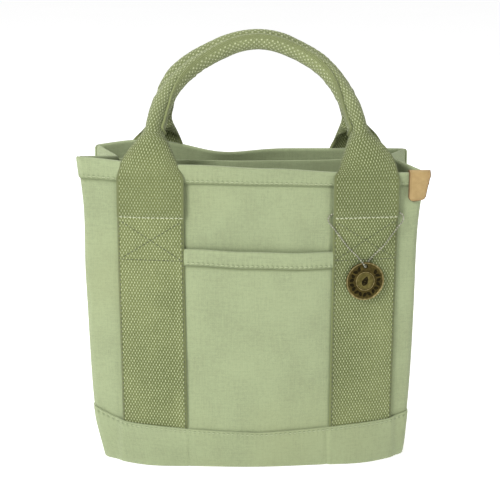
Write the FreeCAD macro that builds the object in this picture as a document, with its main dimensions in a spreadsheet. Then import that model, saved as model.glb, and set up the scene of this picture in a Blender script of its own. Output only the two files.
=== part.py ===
"""A canvas tool bag: an open tote with two compartments, webbing handles and a brass tag on a chain.

The bag stands on z = 0 and its front faces -Y. All sizes are in millimetres.

The front and rear walls lean in towards the rim. In plan each is an arc, tight at the base and nearly
flat at the rim, so a wall is a loft from one arc band to another. Everything sewn on a wall follows
the same arcs at its own offset. Each side is a gusset whose fold sinks inwards as it rises, and the
centre divider stands between the two folds. The rear pieces are the front ones turned half a turn.
"""

import FreeCAD, Part
import math
import os
import re

import Sketcher
from FreeCAD import Placement, Rotation, Vector

SIZES = {
    # canvas shell
    "bag_height": 230,
    "base_half_depth": 57,
    "rim_half_depth": 40,
    "base_arc": 290,
    "rim_arc": 1050,
    "base_half_width": 116,
    "front_rim_half_width": 132,
    "rear_rim_half_width": 121.5,
    "canvas": 1.6,
    "layer_gap": 0.2,
    "wall_lift": 0.4,
    "gusset_base_fold": 117,
    "gusset_rim_fold": 106.5,
    "gusset_wall": 2,
    "tab_room": 2.4,
    # strips and the pocket
    "facing": 1.2,
    "rim_strip": 11.5,
    "base_strip": 29,
    "pocket_half_width": 54.6,
    "pocket_floor": 31,
    "pocket_top": 168,
    "pocket_arc": 165,
    "hem_height": 12,
    # webbing
    "webbing_width": 50,
    "webbing": 2,
    "strap_centre": 81,
    "stitch_line": 193,
    # free handles
    "foot_start": 195.2,
    "foot_end": 233,
    "foot_gap": 3.2,
    "roll_length": 28,
    "grip": 14,
    "leg_end": 268.5,
    "leg_tilt": 14,
    "shoulder_arc": 66,
    "shoulder_tilt": 56,
    "handle_lean": 20,
    # leather tab
    "leather": 1.8,
    "tab_left": 113.8,
    "tab_width": 16.5,
    "tab_drop": 25,
    "tab_inside": 12,
    "tab_corner": 4,
    "tab_gap": 0.3,
    # chain and brass tag
    "chain": 1.5,
    "chain_height": 194.9,
    "chain_reach": 29,
    "clasp": 2.4,
    "clasp_length": 8,
    "disc_radius": 14.8,
    "disc": 1.6,
    "disc_rim": 1.3,
    "disc_dish": 0.3,
    "disc_ring": 7.2,
    "eye_radius": 1.8,
    "eye_inset": 3.2,
    "eye_height": 155.5,
    "disc_offset": 4.5,
}

doc = FreeCAD.newDocument("canvas_tool_bag")
sizes = doc.addObject("Spreadsheet::Sheet", "sizes")
for row, (alias, number) in enumerate(SIZES.items(), start=1):
    sizes.set(f"A{row}", alias)
    sizes.set(f"B{row}", str(number))
    sizes.setAlias(f"B{row}", alias)
workings = doc.addObject("Spreadsheet::Sheet", "workings")
doc.recompute()


def size(alias):
    """A driving dimension, read from the sheet."""
    return float(getattr(sizes, alias))


def linked(formula):
    """The formula with each alias pointed at the sheet."""
    return re.sub(r"[a-z][a-z_]*", lambda w: f"sizes.{w[0]}" if w[0] in SIZES else w[0], formula)


def worked_out(formula):
    """The formula's number, for a sketch's first guess."""
    workings.set("A1", "=" + linked(formula))
    workings.recompute()
    return float(workings.get("A1"))


def bind(thing, formulas):
    for prop, formula in formulas.items():
        thing.setExpression(prop, linked(formula))


PIECES = []


def piece(thing, label, placement=Placement()):
    """A finished sub-part. Its label names its file."""
    thing.Label = label
    thing.Placement = placement
    PIECES.append(thing)
    return thing


TOUCH = 0.01  # places nearer than this are the same place
HALF_TURN = Placement(Vector(), Rotation(Vector(0, 0, 1), 180))
SIDES = {"front": Placement(), "rear": HALF_TURN}

# The wall's shape, as formulas at a height ------------------------------------------------------


def rising(at_base, at_rim, height):
    """A value that runs evenly from the base to the rim."""
    return f"(({at_base}) + (({at_rim}) - ({at_base})) * ({height}) / bag_height)"


def wall_arc(height):
    return f"(1 / {rising('1 / base_arc', '1 / rim_arc', height)})"


def wall_depth(height):
    return rising("base_half_depth", "rim_half_depth", height)


def wall_y(across, offset, height):
    """The y of the front wall's outside, moved outwards by the offset."""
    arc = wall_arc(height)
    return f"({arc} - {wall_depth(height)} - ({offset}) - sqrt({arc} * {arc} - ({across}) * ({across})))"


# Sketches and lofts ----------------------------------------------------------------------------


def new_sketch(body, name, height, plane_role="XY_Plane"):
    """A sketch on one of the body's planes, raised off it to a height."""
    plane = next(f for f in body.Origin.OriginFeatures if f.Role == plane_role)
    sketch = body.newObject("Sketcher::SketchObject", name)
    sketch.AttachmentSupport = [(plane, "")]
    sketch.MapMode = "FlatFace"
    bind(sketch, {"AttachmentOffset.Base.z": height})
    return sketch


def hold_point(sketch, edge, end, formulas):
    """Fix one end of an edge by its x and y formulas."""
    for kind, formula in zip(("DistanceX", "DistanceY"), formulas):
        held = sketch.addConstraint(Sketcher.Constraint(kind, -1, 1, edge, end, worked_out(formula)))
        bind(sketch, {f"Constraints[{held}]": formula})


def join_ends(sketch, edges):
    for edge, following in zip(edges, edges[1:] + edges[:1]):
        sketch.addConstraint(Sketcher.Constraint("Coincident", edge, 2, following, 1))


def arc_band(body, name, height, left, right, front_left, front_right, arc, thickness):
    """A band between two equal arcs that bow towards -Y, from left to right."""
    sketch = new_sketch(body, name, height)
    x0, x1, y0, y1 = (worked_out(f) for f in (left, right, front_left, front_right))
    radius, depth = worked_out(arc), worked_out(thickness)
    half = math.hypot(x1 - x0, y1 - y0) / 2
    reach = math.sqrt(radius**2 - half**2) / (2 * half)
    centre = Vector((x0 + x1) / 2 - (y1 - y0) * reach, (y0 + y1) / 2 + (x1 - x0) * reach, 0)
    start = math.atan2(y0 - centre.y, x0 - centre.x)
    end = math.atan2(y1 - centre.y, x1 - centre.x)
    up = Vector(0, 0, 1)
    for shift in (0, depth):
        circle = Part.Circle(centre + Vector(0, shift, 0), up, radius)
        sketch.addGeometry(Part.ArcOfCircle(circle, start, end), False)
    for x, y in ((x0, y0), (x1, y1)):
        sketch.addGeometry(Part.LineSegment(Vector(x, y, 0), Vector(x, y + depth, 0)), False)
    for line, end_of_arc in ((2, 1), (3, 2)):
        sketch.addConstraint(Sketcher.Constraint("Coincident", line, 1, 0, end_of_arc))
        sketch.addConstraint(Sketcher.Constraint("Coincident", line, 2, 1, end_of_arc))
    for edge, more in ((0, "0"), (1, thickness)):
        held = sketch.addConstraint(Sketcher.Constraint("Radius", edge, radius))
        bind(sketch, {f"Constraints[{held}]": arc})
        hold_point(sketch, edge, 1, (left, f"({front_left}) + ({more})"))
        hold_point(sketch, edge, 2, (right, f"({front_right}) + ({more})"))
    return sketch


def polygon(body, name, height, corners, plane_role="XY_Plane"):
    """A closed outline of straight edges. Each corner is a pair of formulas."""
    sketch = new_sketch(body, name, height, plane_role)
    points = [Vector(worked_out(x), worked_out(y), 0) for x, y in corners]
    for start, end in zip(points, points[1:] + points[:1]):
        sketch.addGeometry(Part.LineSegment(start, end), False)
    join_ends(sketch, list(range(len(points))))
    for edge, corner in enumerate(corners):
        hold_point(sketch, edge, 1, corner)
    return sketch


def loft(body, sketches):
    """A straight loft through the sketches."""
    shape = body.newObject("PartDesign::AdditiveLoft", f"{body.Name}_loft")
    shape.Profile = sketches[0]
    shape.Sections = sketches[1:]
    shape.Ruled = True
    return shape


def wall_layer(name, heights, left, right, offset, thickness):
    """A layer that follows the wall. Left and right take a height; the offset is of its outside."""
    body = doc.addObject("PartDesign::Body", name)
    sections = []
    for i, height in enumerate(heights):
        x0, x1 = left(height), right(height)
        ends = [wall_y(x, offset, height) for x in (x0, x1)]
        section = f"{name}_section_{i}"
        sections.append(arc_band(body, section, height, x0, x1, *ends, wall_arc(height), thickness))
    loft(body, sections)
    return body


# Canvas shell ----------------------------------------------------------------------------------


def half_width(side):
    return lambda height: rising("base_half_width", f"{side}_rim_half_width", height)


def across(side):
    """Left and right ends of a layer as wide as the wall."""
    reach = half_width(side)
    return (lambda height: f"-({reach(height)})"), reach


def panels():
    for side, turn in SIDES.items():
        heights = ("wall_lift", "base_strip", "bag_height / 2", "bag_height")
        piece(wall_layer(f"{side}_panel", heights, *across(side), "0", "canvas"), f"{side}_panel", turn)


def gusset_section(body, name, height, hand, offset, thickness, rear_room="layer_gap"):
    """A V in plan between the front and rear walls, its outside moved out by the offset."""
    fold = rising("gusset_base_fold", "gusset_rim_fold", height)
    front_x, rear_x = half_width("front")(height), half_width("rear")(height)
    room = rising("layer_gap", "tab_room", height)
    front_y = f"({wall_y(front_x, '0', height)} + canvas + {room})"
    rear_y = f"(-({wall_y(rear_x, '0', height)}) - canvas - {rear_room})"
    spots = ((front_x, front_y), (fold, "0"), (rear_x, rear_y))
    outside = [(f"{hand} * ({x} + ({offset}))", y) for x, y in spots]
    inside = [(f"{hand} * ({x} + ({offset}) - ({thickness}))", y) for x, y in reversed(spots)]
    return polygon(body, name, height, outside + inside)


def gusset_layer(name, hand, heights, offset, thickness):
    body = doc.addObject("PartDesign::Body", name)
    loft(body, [
        gusset_section(body, f"{name}_section_{i}", height, hand, offset, thickness)
        for i, height in enumerate(heights)
    ])
    return body


def gussets():
    for side, hand in (("left", "-1"), ("right", "1")):
        full = ("wall_lift", "base_strip", "bag_height")
        rim = ("bag_height - rim_strip", "bag_height")
        base = ("0", "base_strip")
        clear = "facing + layer_gap"
        piece(gusset_layer(f"{side}_gusset", hand, full, "0", "gusset_wall"), f"{side}_gusset")
        piece(gusset_layer(f"{side}_rim_facing", hand, rim, clear, "facing"), f"{side}_rim_facing")
        piece(gusset_layer(f"{side}_base_band", hand, base, clear, "facing"), f"{side}_base_band")


def base_panel():
    """The bag's floor, inside the walls and gussets."""
    body = doc.addObject("PartDesign::Body", "base_panel")
    edge = "(base_half_width - gusset_wall - layer_gap)"
    arc = wall_arc("0")
    front = wall_y(edge, "-canvas - layer_gap", "0")
    sketch = new_sketch(body, "base_outline", "0")
    x, y, radius = worked_out(edge), worked_out(front), worked_out(arc)
    centre_y = y + math.sqrt(radius**2 - x**2)
    turn = math.asin(x / radius)
    up = Vector(0, 0, 1)
    for cy, middle in ((centre_y, -math.pi / 2), (-centre_y, math.pi / 2)):
        circle = Part.Circle(Vector(0, cy, 0), up, radius)
        sketch.addGeometry(Part.ArcOfCircle(circle, middle - turn, middle + turn), False)
    sketch.addGeometry(Part.LineSegment(Vector(x, y, 0), Vector(x, -y, 0)), False)
    sketch.addGeometry(Part.LineSegment(Vector(-x, -y, 0), Vector(-x, y, 0)), False)
    join_ends(sketch, [0, 2, 1, 3])
    for edge_index, signs in ((0, ("-", "")), (1, ("", "-"))):
        held = sketch.addConstraint(Sketcher.Constraint("Radius", edge_index, radius))
        bind(sketch, {f"Constraints[{held}]": arc})
        hold_point(sketch, edge_index, 1, tuple(f"{s}1 * ({f})" for s, f in zip(signs, (edge, front))))
        flipped = (("" if signs[0] else "-"), signs[1])
        hold_point(sketch, edge_index, 2, tuple(f"{s}1 * ({f})" for s, f in zip(flipped, (edge, front))))
    pad = body.newObject("PartDesign::Pad", "base_pad")
    pad.Profile = sketch
    bind(pad, {"Length": "canvas"})
    piece(body, "base_panel")


def centre_divider():
    """The upright sheet between the gusset folds."""
    body = doc.addObject("PartDesign::Body", "centre_divider")
    sections = []
    for i, height in enumerate(("canvas + layer_gap", "bag_height")):
        fold = rising("gusset_base_fold", "gusset_rim_fold", height)
        x = f"({fold} - gusset_wall - 4 * layer_gap)"
        y = "canvas / 2"
        corners = [(f"-1 * {x}", f"-1 * {y}"), (x, f"-1 * {y}"), (x, y), (f"-1 * {x}", y)]
        sections.append(polygon(body, f"divider_section_{i}", height, corners))
    loft(body, sections)
    piece(body, "centre_divider")


# Strips, pocket and sewn straps ----------------------------------------------------------------


def strips():
    """The facing round the rim and the band round the base, on the front and the rear."""
    clear = "layer_gap + facing"
    rim = ("bag_height - rim_strip", "bag_height")
    base = ("0", "base_strip")
    over_straps = "layer_gap + webbing + layer_gap + facing"
    for side, turn in SIDES.items():
        left, right = across(side)
        facing_end = (lambda height: "tab_left - layer_gap") if side == "front" else right
        facing = wall_layer(f"{side}_rim_facing", rim, left, facing_end, clear, "facing")
        piece(facing, f"{side}_rim_facing", turn)
        band = wall_layer(f"{side}_base_band", base, left, right, over_straps, "facing")
        piece(band, f"{side}_base_band", turn)


def sewn_straps():
    """Webbing sewn flat on the walls, from under the base band up to the stitch line."""
    heights = ("wall_lift", "base_strip", "bag_height / 2", "stitch_line")
    for side, turn in SIDES.items():
        for hand, sign in (("left", -1), ("right", 1)):
            mirror = sign if side == "front" else -sign
            inner = "(strap_centre - webbing_width / 2)"
            outer = "(strap_centre + webbing_width / 2)"
            ends = (f"-1 * {outer}", f"-1 * {inner}") if mirror < 0 else (inner, outer)
            strap = wall_layer(
                f"{side}_{hand}_strap", heights, lambda h: ends[0], lambda h: ends[1],
                "layer_gap + webbing", "webbing",
            )
            piece(strap, f"{side}_{hand}_strap", turn)


def front_pocket():
    """The pocket between the front straps. Its mouth bows away from the wall."""
    hem_foot = "(pocket_top - hem_height)"
    ends = ("-1 * pocket_half_width", "pocket_half_width")

    def arc_at(height):
        share = f"((({height}) - pocket_floor) / (pocket_top - pocket_floor))"
        low = f"(1 / {wall_arc('pocket_floor')})"
        return f"(1 / ({low} + (1 / pocket_arc - {low}) * {share}))"

    def layer(name, heights, offset, thickness):
        body = doc.addObject("PartDesign::Body", name)
        sections = []
        for i, height in enumerate(heights):
            front = wall_y("pocket_half_width", offset, height)
            section = f"{name}_section_{i}"
            sections.append(arc_band(body, section, height, *ends, front, front, arc_at(height), thickness))
        loft(body, sections)
        return body

    cloth = "(layer_gap + canvas)"
    panel = layer("front_pocket", ("pocket_floor", hem_foot, "pocket_top"), cloth, "canvas")
    piece(panel, "front_pocket")
    hem = layer("front_pocket_hem", (hem_foot, "pocket_top"), f"{cloth} + layer_gap + facing", "facing")
    piece(hem, "front_pocket_hem")


# Free handles ----------------------------------------------------------------------------------


def wall_bend(z):
    """One over the wall's radius at a height."""
    share = z / size("bag_height")
    return (1 - share) / size("base_arc") + share / size("rim_arc")


def front_wall(x, z, offset=0.0):
    """The y of the front wall's outside at a place, moved outwards by the offset."""
    share = z / size("bag_height")
    depth = (1 - share) * size("base_half_depth") + share * size("rim_half_depth")
    arc = 1 / wall_bend(z)
    return arc - depth - offset - math.sqrt(arc**2 - x * x)


def slot_wire(centre, tangent, width, thickness, wide):
    """A flat-sided slot across the tangent, its long side along wide as far as that allows."""
    ahead = Vector(tangent).normalize()
    side = (wide - ahead * wide.dot(ahead)).normalize()
    face = ahead.cross(side)
    half, radius = (width - thickness) / 2, thickness / 2
    signs = ((-1, -1), (1, -1), (1, 1), (-1, 1))
    corners = [centre + side * (half * a) + face * (radius * b) for a, b in signs]
    tips = [centre + side * (sign * (half + radius)) for sign in (1, -1)]
    return Part.Wire([
        Part.LineSegment(corners[0], corners[1]).toShape(),
        Part.Arc(corners[1], tips[0], corners[2]).toShape(),
        Part.LineSegment(corners[2], corners[3]).toShape(),
        Part.Arc(corners[3], tips[1], corners[0]).toShape(),
    ])


# How the flat foot becomes a roll: share of the roll's length, of the webbing's width, of the grip.
ROLL_STAGES = ((0.0, 0.86, 0.3), (0.36, 0.5, 0.78), (0.68, 0.33, 0.96), (1.0, 0.29, 1.0))
FLAT_END = 8  # how far below the foot's end the webbing is still quite flat
OVER_ROUND = 0.3  # a slot needs a little more width than thickness
ARC_SHARES = (0, 0.33, 0.67)


def handle_stations():
    """Half of a handle, from its right foot to the crown: x, height on the handle, width, thickness."""
    width, webbing, grip = size("webbing_width"), size("webbing"), size("grip")
    x, z = size("strap_centre"), size("foot_end")
    stations = [(x, size("foot_start"), width, webbing), (x, z - FLAT_END, width, webbing)]
    leg_tilt, shoulder_tilt = (math.radians(size(a)) for a in ("leg_tilt", "shoulder_tilt"))
    leg_end = size("leg_end")
    for share, wide, thick in ROLL_STAGES:
        rise = share * size("roll_length")
        inward = rise * math.tan(leg_tilt)
        stations.append((x - inward, z + rise, width * wide, grip * thick))
    slim = grip + OVER_ROUND
    shoulder = size("shoulder_arc")
    leg_x = x - (leg_end - z) * math.tan(leg_tilt)
    for share in ARC_SHARES:
        tilt = leg_tilt + share * (shoulder_tilt - leg_tilt)
        across_arc = shoulder * (math.cos(leg_tilt) - math.cos(tilt))
        up_arc = shoulder * (math.sin(tilt) - math.sin(leg_tilt))
        stations.append((leg_x - across_arc, leg_end + up_arc, slim, grip))
    crown_x = leg_x - shoulder * (math.cos(leg_tilt) - math.cos(shoulder_tilt))
    crown_z = leg_end + shoulder * (math.sin(shoulder_tilt) - math.sin(leg_tilt))
    crown = crown_x / math.cos(shoulder_tilt)
    for share in (*ARC_SHARES, 1):
        tilt = shoulder_tilt + share * (math.pi / 2 - shoulder_tilt)
        rise = crown * (math.sin(tilt) - math.sin(shoulder_tilt))
        stations.append((crown * math.cos(tilt), crown_z + rise, slim, grip))
    return stations


def leaned(x, rise):
    """A handle's point: its foot stands off the wall, and the rest leans inwards over the rim."""
    centre = size("strap_centre")
    offset = size("foot_gap") + size("webbing") / 2
    foot_end = size("foot_end")
    if rise <= foot_end:
        return Vector(x, front_wall(centre, rise, offset), rise)
    start_y = front_wall(centre, foot_end, offset)
    lean = math.radians(size("handle_lean"))
    more = rise - foot_end
    return Vector(x, start_y + more * math.tan(lean), rise)


def handle_shape():
    """One loft from the right foot over the crown to the left foot."""
    half = handle_stations()
    path = half + [(-x, z, width, thickness) for x, z, width, thickness in reversed(half[:-1])]
    centres = [leaned(x, z) for x, z, width, thickness in path]
    foot_slope = size("strap_centre") * wall_bend(size("stitch_line"))
    wires = []
    for i, (x, z, width, thickness) in enumerate(path):
        tangent = centres[min(i + 1, len(path) - 1)] - centres[max(i - 1, 0)]
        wide = Vector(0, 1, 0).cross(tangent)
        hand = math.copysign(1, x)
        if z <= size("foot_end"):
            wide = Vector(hand, foot_slope, 0)
        if z < size("foot_end"):
            tangent = Vector(0, 0, hand)
        wires.append(slot_wire(centres[i], tangent, width, thickness, wide))
    return Part.makeLoft(wires, True, True)


def free_handles():
    for side, turn in SIDES.items():
        handle = doc.addObject("Part::Feature", f"{side}_handle")
        handle.Shape = handle_shape()
        piece(handle, f"{side}_handle", turn)


# Leather tab -----------------------------------------------------------------------------------


FOLD_SOFTNESS = 0.8  # the fold's outer radius, in thicknesses of leather


def edges_at(shape, z, length):
    """The names of a shape's edges that lie at a height and have a length."""
    names = []
    for number, edge in enumerate(shape.Edges, start=1):
        level = all(abs(v.Point.z - z) < TOUCH for v in edge.Vertexes)
        if level and abs(edge.Length - length) < TOUCH:
            names.append(f"Edge{number}")
    return names


def leather_tab():
    """A leather strip folded over the front rim near its right end."""
    body = doc.addObject("PartDesign::Body", "leather_tab")
    out, back = "(tab_gap + leather)", "(canvas + tab_gap + leather)"
    corners = [
        (f"-1 * {out}", "-1 * tab_drop"), ("-1 * tab_gap", "-1 * tab_drop"),
        ("-1 * tab_gap", "tab_gap"), ("canvas + tab_gap", "tab_gap"),
        ("canvas + tab_gap", "-1 * tab_inside"), (back, "-1 * tab_inside"),
        (back, "tab_gap + leather"), (f"-1 * {out}", "tab_gap + leather"),
    ]
    sketch = polygon(body, "tab_profile", "0", corners, plane_role="YZ_Plane")
    pad = body.newObject("PartDesign::Pad", "tab_pad")
    pad.Profile = sketch
    bind(pad, {"Length": "tab_width"})
    doc.recompute()
    corners_cut = body.newObject("PartDesign::Fillet", "tab_corners")
    corners_cut.Base = (pad, edges_at(pad.Shape, -size("tab_drop"), size("leather")))
    bind(corners_cut, {"Radius": "tab_corner"})
    doc.recompute()
    top = size("tab_gap") + size("leather")
    fold = body.newObject("PartDesign::Fillet", "tab_fold")
    fold.Base = (corners_cut, edges_at(corners_cut.Shape, top, size("tab_width")))
    bind(fold, {"Radius": f"leather * {FOLD_SOFTNESS}"})
    x = size("tab_left")
    rim = size("bag_height")
    turn = math.degrees(math.asin((x + size("tab_width") / 2) * wall_bend(rim)))
    spot = Vector(x, front_wall(x, rim), rim)
    piece(body, "leather_tab", Placement(spot, Rotation(Vector(0, 0, 1), turn)))


# Chain and tag ---------------------------------------------------------------------------------


def off_wall(x, offset, z):
    return Vector(x, front_wall(x, z, offset), z)


CHAIN_BEHIND = 1.15  # from the middle of the chain to the back of the disc, at the eye
CHAIN_BEFORE = 1.1  # from the front of the disc to the middle of the chain


def chain_route():
    """From the clasp behind the right strap, round its outer edge, through the tag's eye and back."""
    x, z = size("strap_centre"), size("chain_height")
    reach, eye = size("chain_reach"), size("eye_height")
    clasp_end = size("clasp_length") / 2
    behind = size("disc_offset") - CHAIN_BEHIND
    before = size("disc_offset") + size("disc") + CHAIN_BEFORE
    edge = [
        (clasp_end, 1.4, z), (17.5, 1.55, z + 0.1), (reach - 3.2, 1.9, z - 0.1), (reach, 2.4, z - 1.8),
        (reach - 0.1, 4.0, z - 5.2), (reach - 4.4, 4.5, z - 10), (reach - 10, 4.5, z - 17.6),
        (reach - 16, 4.4, z - 25.6),
    ]
    right = [(x + away, offset, height) for away, offset, height in edge]
    left = [(x - away, offset, height) for away, offset, height in reversed(edge)]
    eye_turn = [
        (x + 5.6, behind, eye + 7.2), (x + 2.0, behind, eye + 2.6), (x + 0.2, behind, eye - 0.5),
        (x - 0.2, before, eye - 0.5), (x - 2.2, before, eye + 2.9), (x - 6.0, before + 0.1, eye + 7.8),
    ]
    return [off_wall(*point) for point in right + eye_turn + left]


def rounded_path(points, share=0.45):
    """Straight runs joined by tangent arcs, each as large as its two runs allow."""
    edges = []
    start = points[0]
    radii = []
    for before, corner, after in zip(points, points[1:], points[2:]):
        back, ahead = before - corner, after - corner
        reach = share * min(back.Length, ahead.Length)
        half_turn = (math.pi - back.getAngle(ahead)) / 2
        radii.append(reach / math.tan(half_turn))
        back.normalize()
        ahead.normalize()
        enter, leave = corner + back * reach, corner + ahead * reach
        inward = (back + ahead).normalize()
        dip = radii[-1] * (1 / math.cos(half_turn) - 1)
        edges.append(Part.LineSegment(start, enter).toShape())
        edges.append(Part.Arc(enter, corner + inward * dip, leave).toShape())
        start = leave
    edges.append(Part.LineSegment(start, points[-1]).toShape())
    return Part.Wire(edges), radii


VOLUME_SLACK = 0.01


def tag_chain():
    """The ball chain, as a plain tube of its own thickness."""
    path, radii = rounded_path(chain_route())
    radius = size("chain") / 2
    start = path.OrderedEdges[0].firstVertex().Point
    ring = Part.Wire(Part.makeCircle(radius, start, path.OrderedEdges[0].tangentAt(0)))
    chain = doc.addObject("Part::Feature", "tag_chain")
    chain.Shape = path.makePipeShell([ring], True, True)
    expected = path.Length * math.pi * radius**2
    share = chain.Shape.Volume / expected
    print(f"chain: {path.Length:.1f} mm, tightest arc {min(radii):.2f} mm, volume share {share:.4f}")
    if abs(share - 1) > VOLUME_SLACK:
        raise ValueError("the chain's tube does not match its length")
    print("chain arcs:", " ".join(f"{r:.1f}" for r in radii))
    piece(chain, "tag_chain")


def chain_clasp():
    """The sleeve that closes the chain, out of sight behind the strap."""
    clasp = doc.addObject("Part::Cylinder", "chain_clasp")
    bind(clasp, {"Radius": "clasp / 2", "Height": "clasp_length"})
    route = chain_route()
    along = (route[0] - route[-1]).normalize()
    piece(clasp, "chain_clasp", Placement(route[-1], Rotation(Vector(0, 0, 1), along)))


def tag_disc():
    """A round brass tag with a raised rim, a raised inner ring and an eye near its top."""
    blank = doc.addObject("Part::Cylinder", "disc_blank")
    bind(blank, {"Radius": "disc_radius", "Height": "disc"})
    dish = doc.addObject("Part::Cylinder", "disc_dish_cutter")
    bind(dish, {
        "Radius": "disc_radius - disc_rim", "Height": "disc", "Placement.Base.z": "disc - disc_dish",
    })
    dished = doc.addObject("Part::Cut", "dished_disc")
    dished.Base, dished.Tool = blank, dish
    ring = doc.addObject("Part::Torus", "disc_ring_bead")
    bind(ring, {
        "Radius1": "disc_ring", "Radius2": "disc_dish * 1.2", "Placement.Base.z": "disc - disc_dish",
    })
    ringed = doc.addObject("Part::Fuse", "ringed_disc")
    ringed.Base, ringed.Tool = dished, ring
    eye = doc.addObject("Part::Cylinder", "disc_eye_cutter")
    bind(eye, {
        "Radius": "eye_radius", "Height": "disc * 3",
        "Placement.Base.y": "disc_radius - eye_inset", "Placement.Base.z": "-disc",
    })
    disc = doc.addObject("Part::Cut", "tag_disc")
    disc.Base, disc.Tool = ringed, eye
    x = size("strap_centre")
    centre_z = size("eye_height") - (size("disc_radius") - size("eye_inset"))
    turn = math.degrees(math.asin(x * wall_bend(size("eye_height"))))
    stand = Rotation(Vector(0, 0, 1), turn) * Rotation(Vector(1, 0, 0), 90)
    eye_spot = off_wall(x, size("disc_offset"), size("eye_height"))
    piece(disc, "tag_disc", Placement(Vector(eye_spot.x, eye_spot.y, centre_z), stand))


def main():
    panels()
    gussets()
    base_panel()
    centre_divider()
    strips()
    sewn_straps()
    front_pocket()
    free_handles()
    leather_tab()
    tag_chain()
    chain_clasp()
    tag_disc()
    doc.recompute()
    for thing in doc.Objects:
        if "Invalid" in thing.State or "Error" in thing.State:
            raise ValueError(f"{thing.Name} failed: {thing.State}")
    os.makedirs("parts", exist_ok=True)
    for thing in PIECES:
        shape = thing.Shape
        if shape.isNull() or not shape.isValid() or len(shape.Solids) != 1:
            raise ValueError(f"{thing.Label} is not one valid solid")
        shape.exportStep(f"parts/{thing.Label}.step")
        box = shape.optimalBoundingBox()
        print(f"{thing.Label:22s} {shape.Volume / 1000:8.2f} cm3  x {box.XMin:7.1f} {box.XMax:7.1f}"
              f"  y {box.YMin:6.1f} {box.YMax:6.1f}  z {box.ZMin:6.1f} {box.ZMax:6.1f}")


main()
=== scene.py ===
# %% [markdown]
# This lesson dresses a small canvas tool bag. Its measured frame is loaded first and is never moved:
# the canvas, webbing, leather and metal are then made around it, in metres, standing where it stands.

# %% Load the frame
import math

import bpy
from mathutils import Matrix, Vector, noise


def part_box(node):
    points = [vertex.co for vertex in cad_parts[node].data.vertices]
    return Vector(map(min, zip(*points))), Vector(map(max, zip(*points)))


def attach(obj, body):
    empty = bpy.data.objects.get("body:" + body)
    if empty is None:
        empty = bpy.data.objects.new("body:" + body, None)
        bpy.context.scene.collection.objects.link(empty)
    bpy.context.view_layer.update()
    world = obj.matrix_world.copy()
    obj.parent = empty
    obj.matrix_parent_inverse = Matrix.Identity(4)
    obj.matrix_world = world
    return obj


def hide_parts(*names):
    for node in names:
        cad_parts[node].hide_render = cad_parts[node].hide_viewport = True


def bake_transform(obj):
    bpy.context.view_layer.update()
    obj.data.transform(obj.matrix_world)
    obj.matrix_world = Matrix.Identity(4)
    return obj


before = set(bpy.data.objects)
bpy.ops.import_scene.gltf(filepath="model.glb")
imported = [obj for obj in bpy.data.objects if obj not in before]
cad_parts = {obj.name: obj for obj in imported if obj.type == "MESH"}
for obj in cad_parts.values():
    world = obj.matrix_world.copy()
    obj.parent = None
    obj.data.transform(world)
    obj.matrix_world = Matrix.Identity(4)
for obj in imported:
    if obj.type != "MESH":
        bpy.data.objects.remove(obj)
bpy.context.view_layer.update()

MM = 0.001


# %% [markdown]
# The camera stands in front, a little to the left and above the rim, about a metre away. A long lens
# keeps the upright sides of the bag nearly parallel.

# %% Camera
AIM = Vector((-0.0039, 0.0, 0.157))
CAMERA_DISTANCE = 1.0638
CAMERA_HEIGHT_ANGLE = math.radians(14.28)
CAMERA_TURN = math.radians(-3.26)
CAMERA_ROLL = math.radians(0.62)

backwards = Vector((
    math.sin(CAMERA_TURN) * math.cos(CAMERA_HEIGHT_ANGLE),
    -math.cos(CAMERA_TURN) * math.cos(CAMERA_HEIGHT_ANGLE),
    math.sin(CAMERA_HEIGHT_ANGLE),
))
bpy.ops.object.camera_add(location=AIM + backwards * CAMERA_DISTANCE)
camera = bpy.context.object
look = backwards.to_track_quat("Z", "Y").to_matrix().to_4x4()
camera.rotation_euler = (look @ Matrix.Rotation(CAMERA_ROLL, 4, "Z")).to_euler()
camera.data.lens = 97.7
camera.data.sensor_width = 36
bpy.context.scene.camera = camera


# %% [markdown]
# Shader sums read best as sums. A small class wraps one socket of a material, so that a plus or a
# minus between two wrapped sockets adds the Math node that it stands for.

# %% A socket that can be used in sums
class Flow:
    """One output of a node, for use in sums."""

    def __init__(self, recipe, socket):
        self.recipe = recipe
        self.socket = socket

    def math(self, operation, *others):
        inputs = {i: value for i, value in enumerate((self, *others))}
        return self.recipe.node("ShaderNodeMath", {"operation": operation}, inputs)

    def __add__(self, other):
        return self.math("ADD", other)

    __radd__ = __add__

    def __sub__(self, other):
        return self.math("SUBTRACT", other)

    def __rsub__(self, other):
        return self.recipe.node("ShaderNodeMath", {"operation": "SUBTRACT"}, {0: other, 1: self})

    def __mul__(self, other):
        return self.math("MULTIPLY", other)

    __rmul__ = __mul__

    def __truediv__(self, other):
        return self.math("DIVIDE", other)

    def clipped(self, low, high):
        """Runs from 0 at low to 1 at high, and stays there."""
        return self.recipe.node(
            "ShaderNodeMapRange", {"interpolation_type": "SMOOTHSTEP"}, {0: self, 1: low, 2: high}
        )


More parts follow.
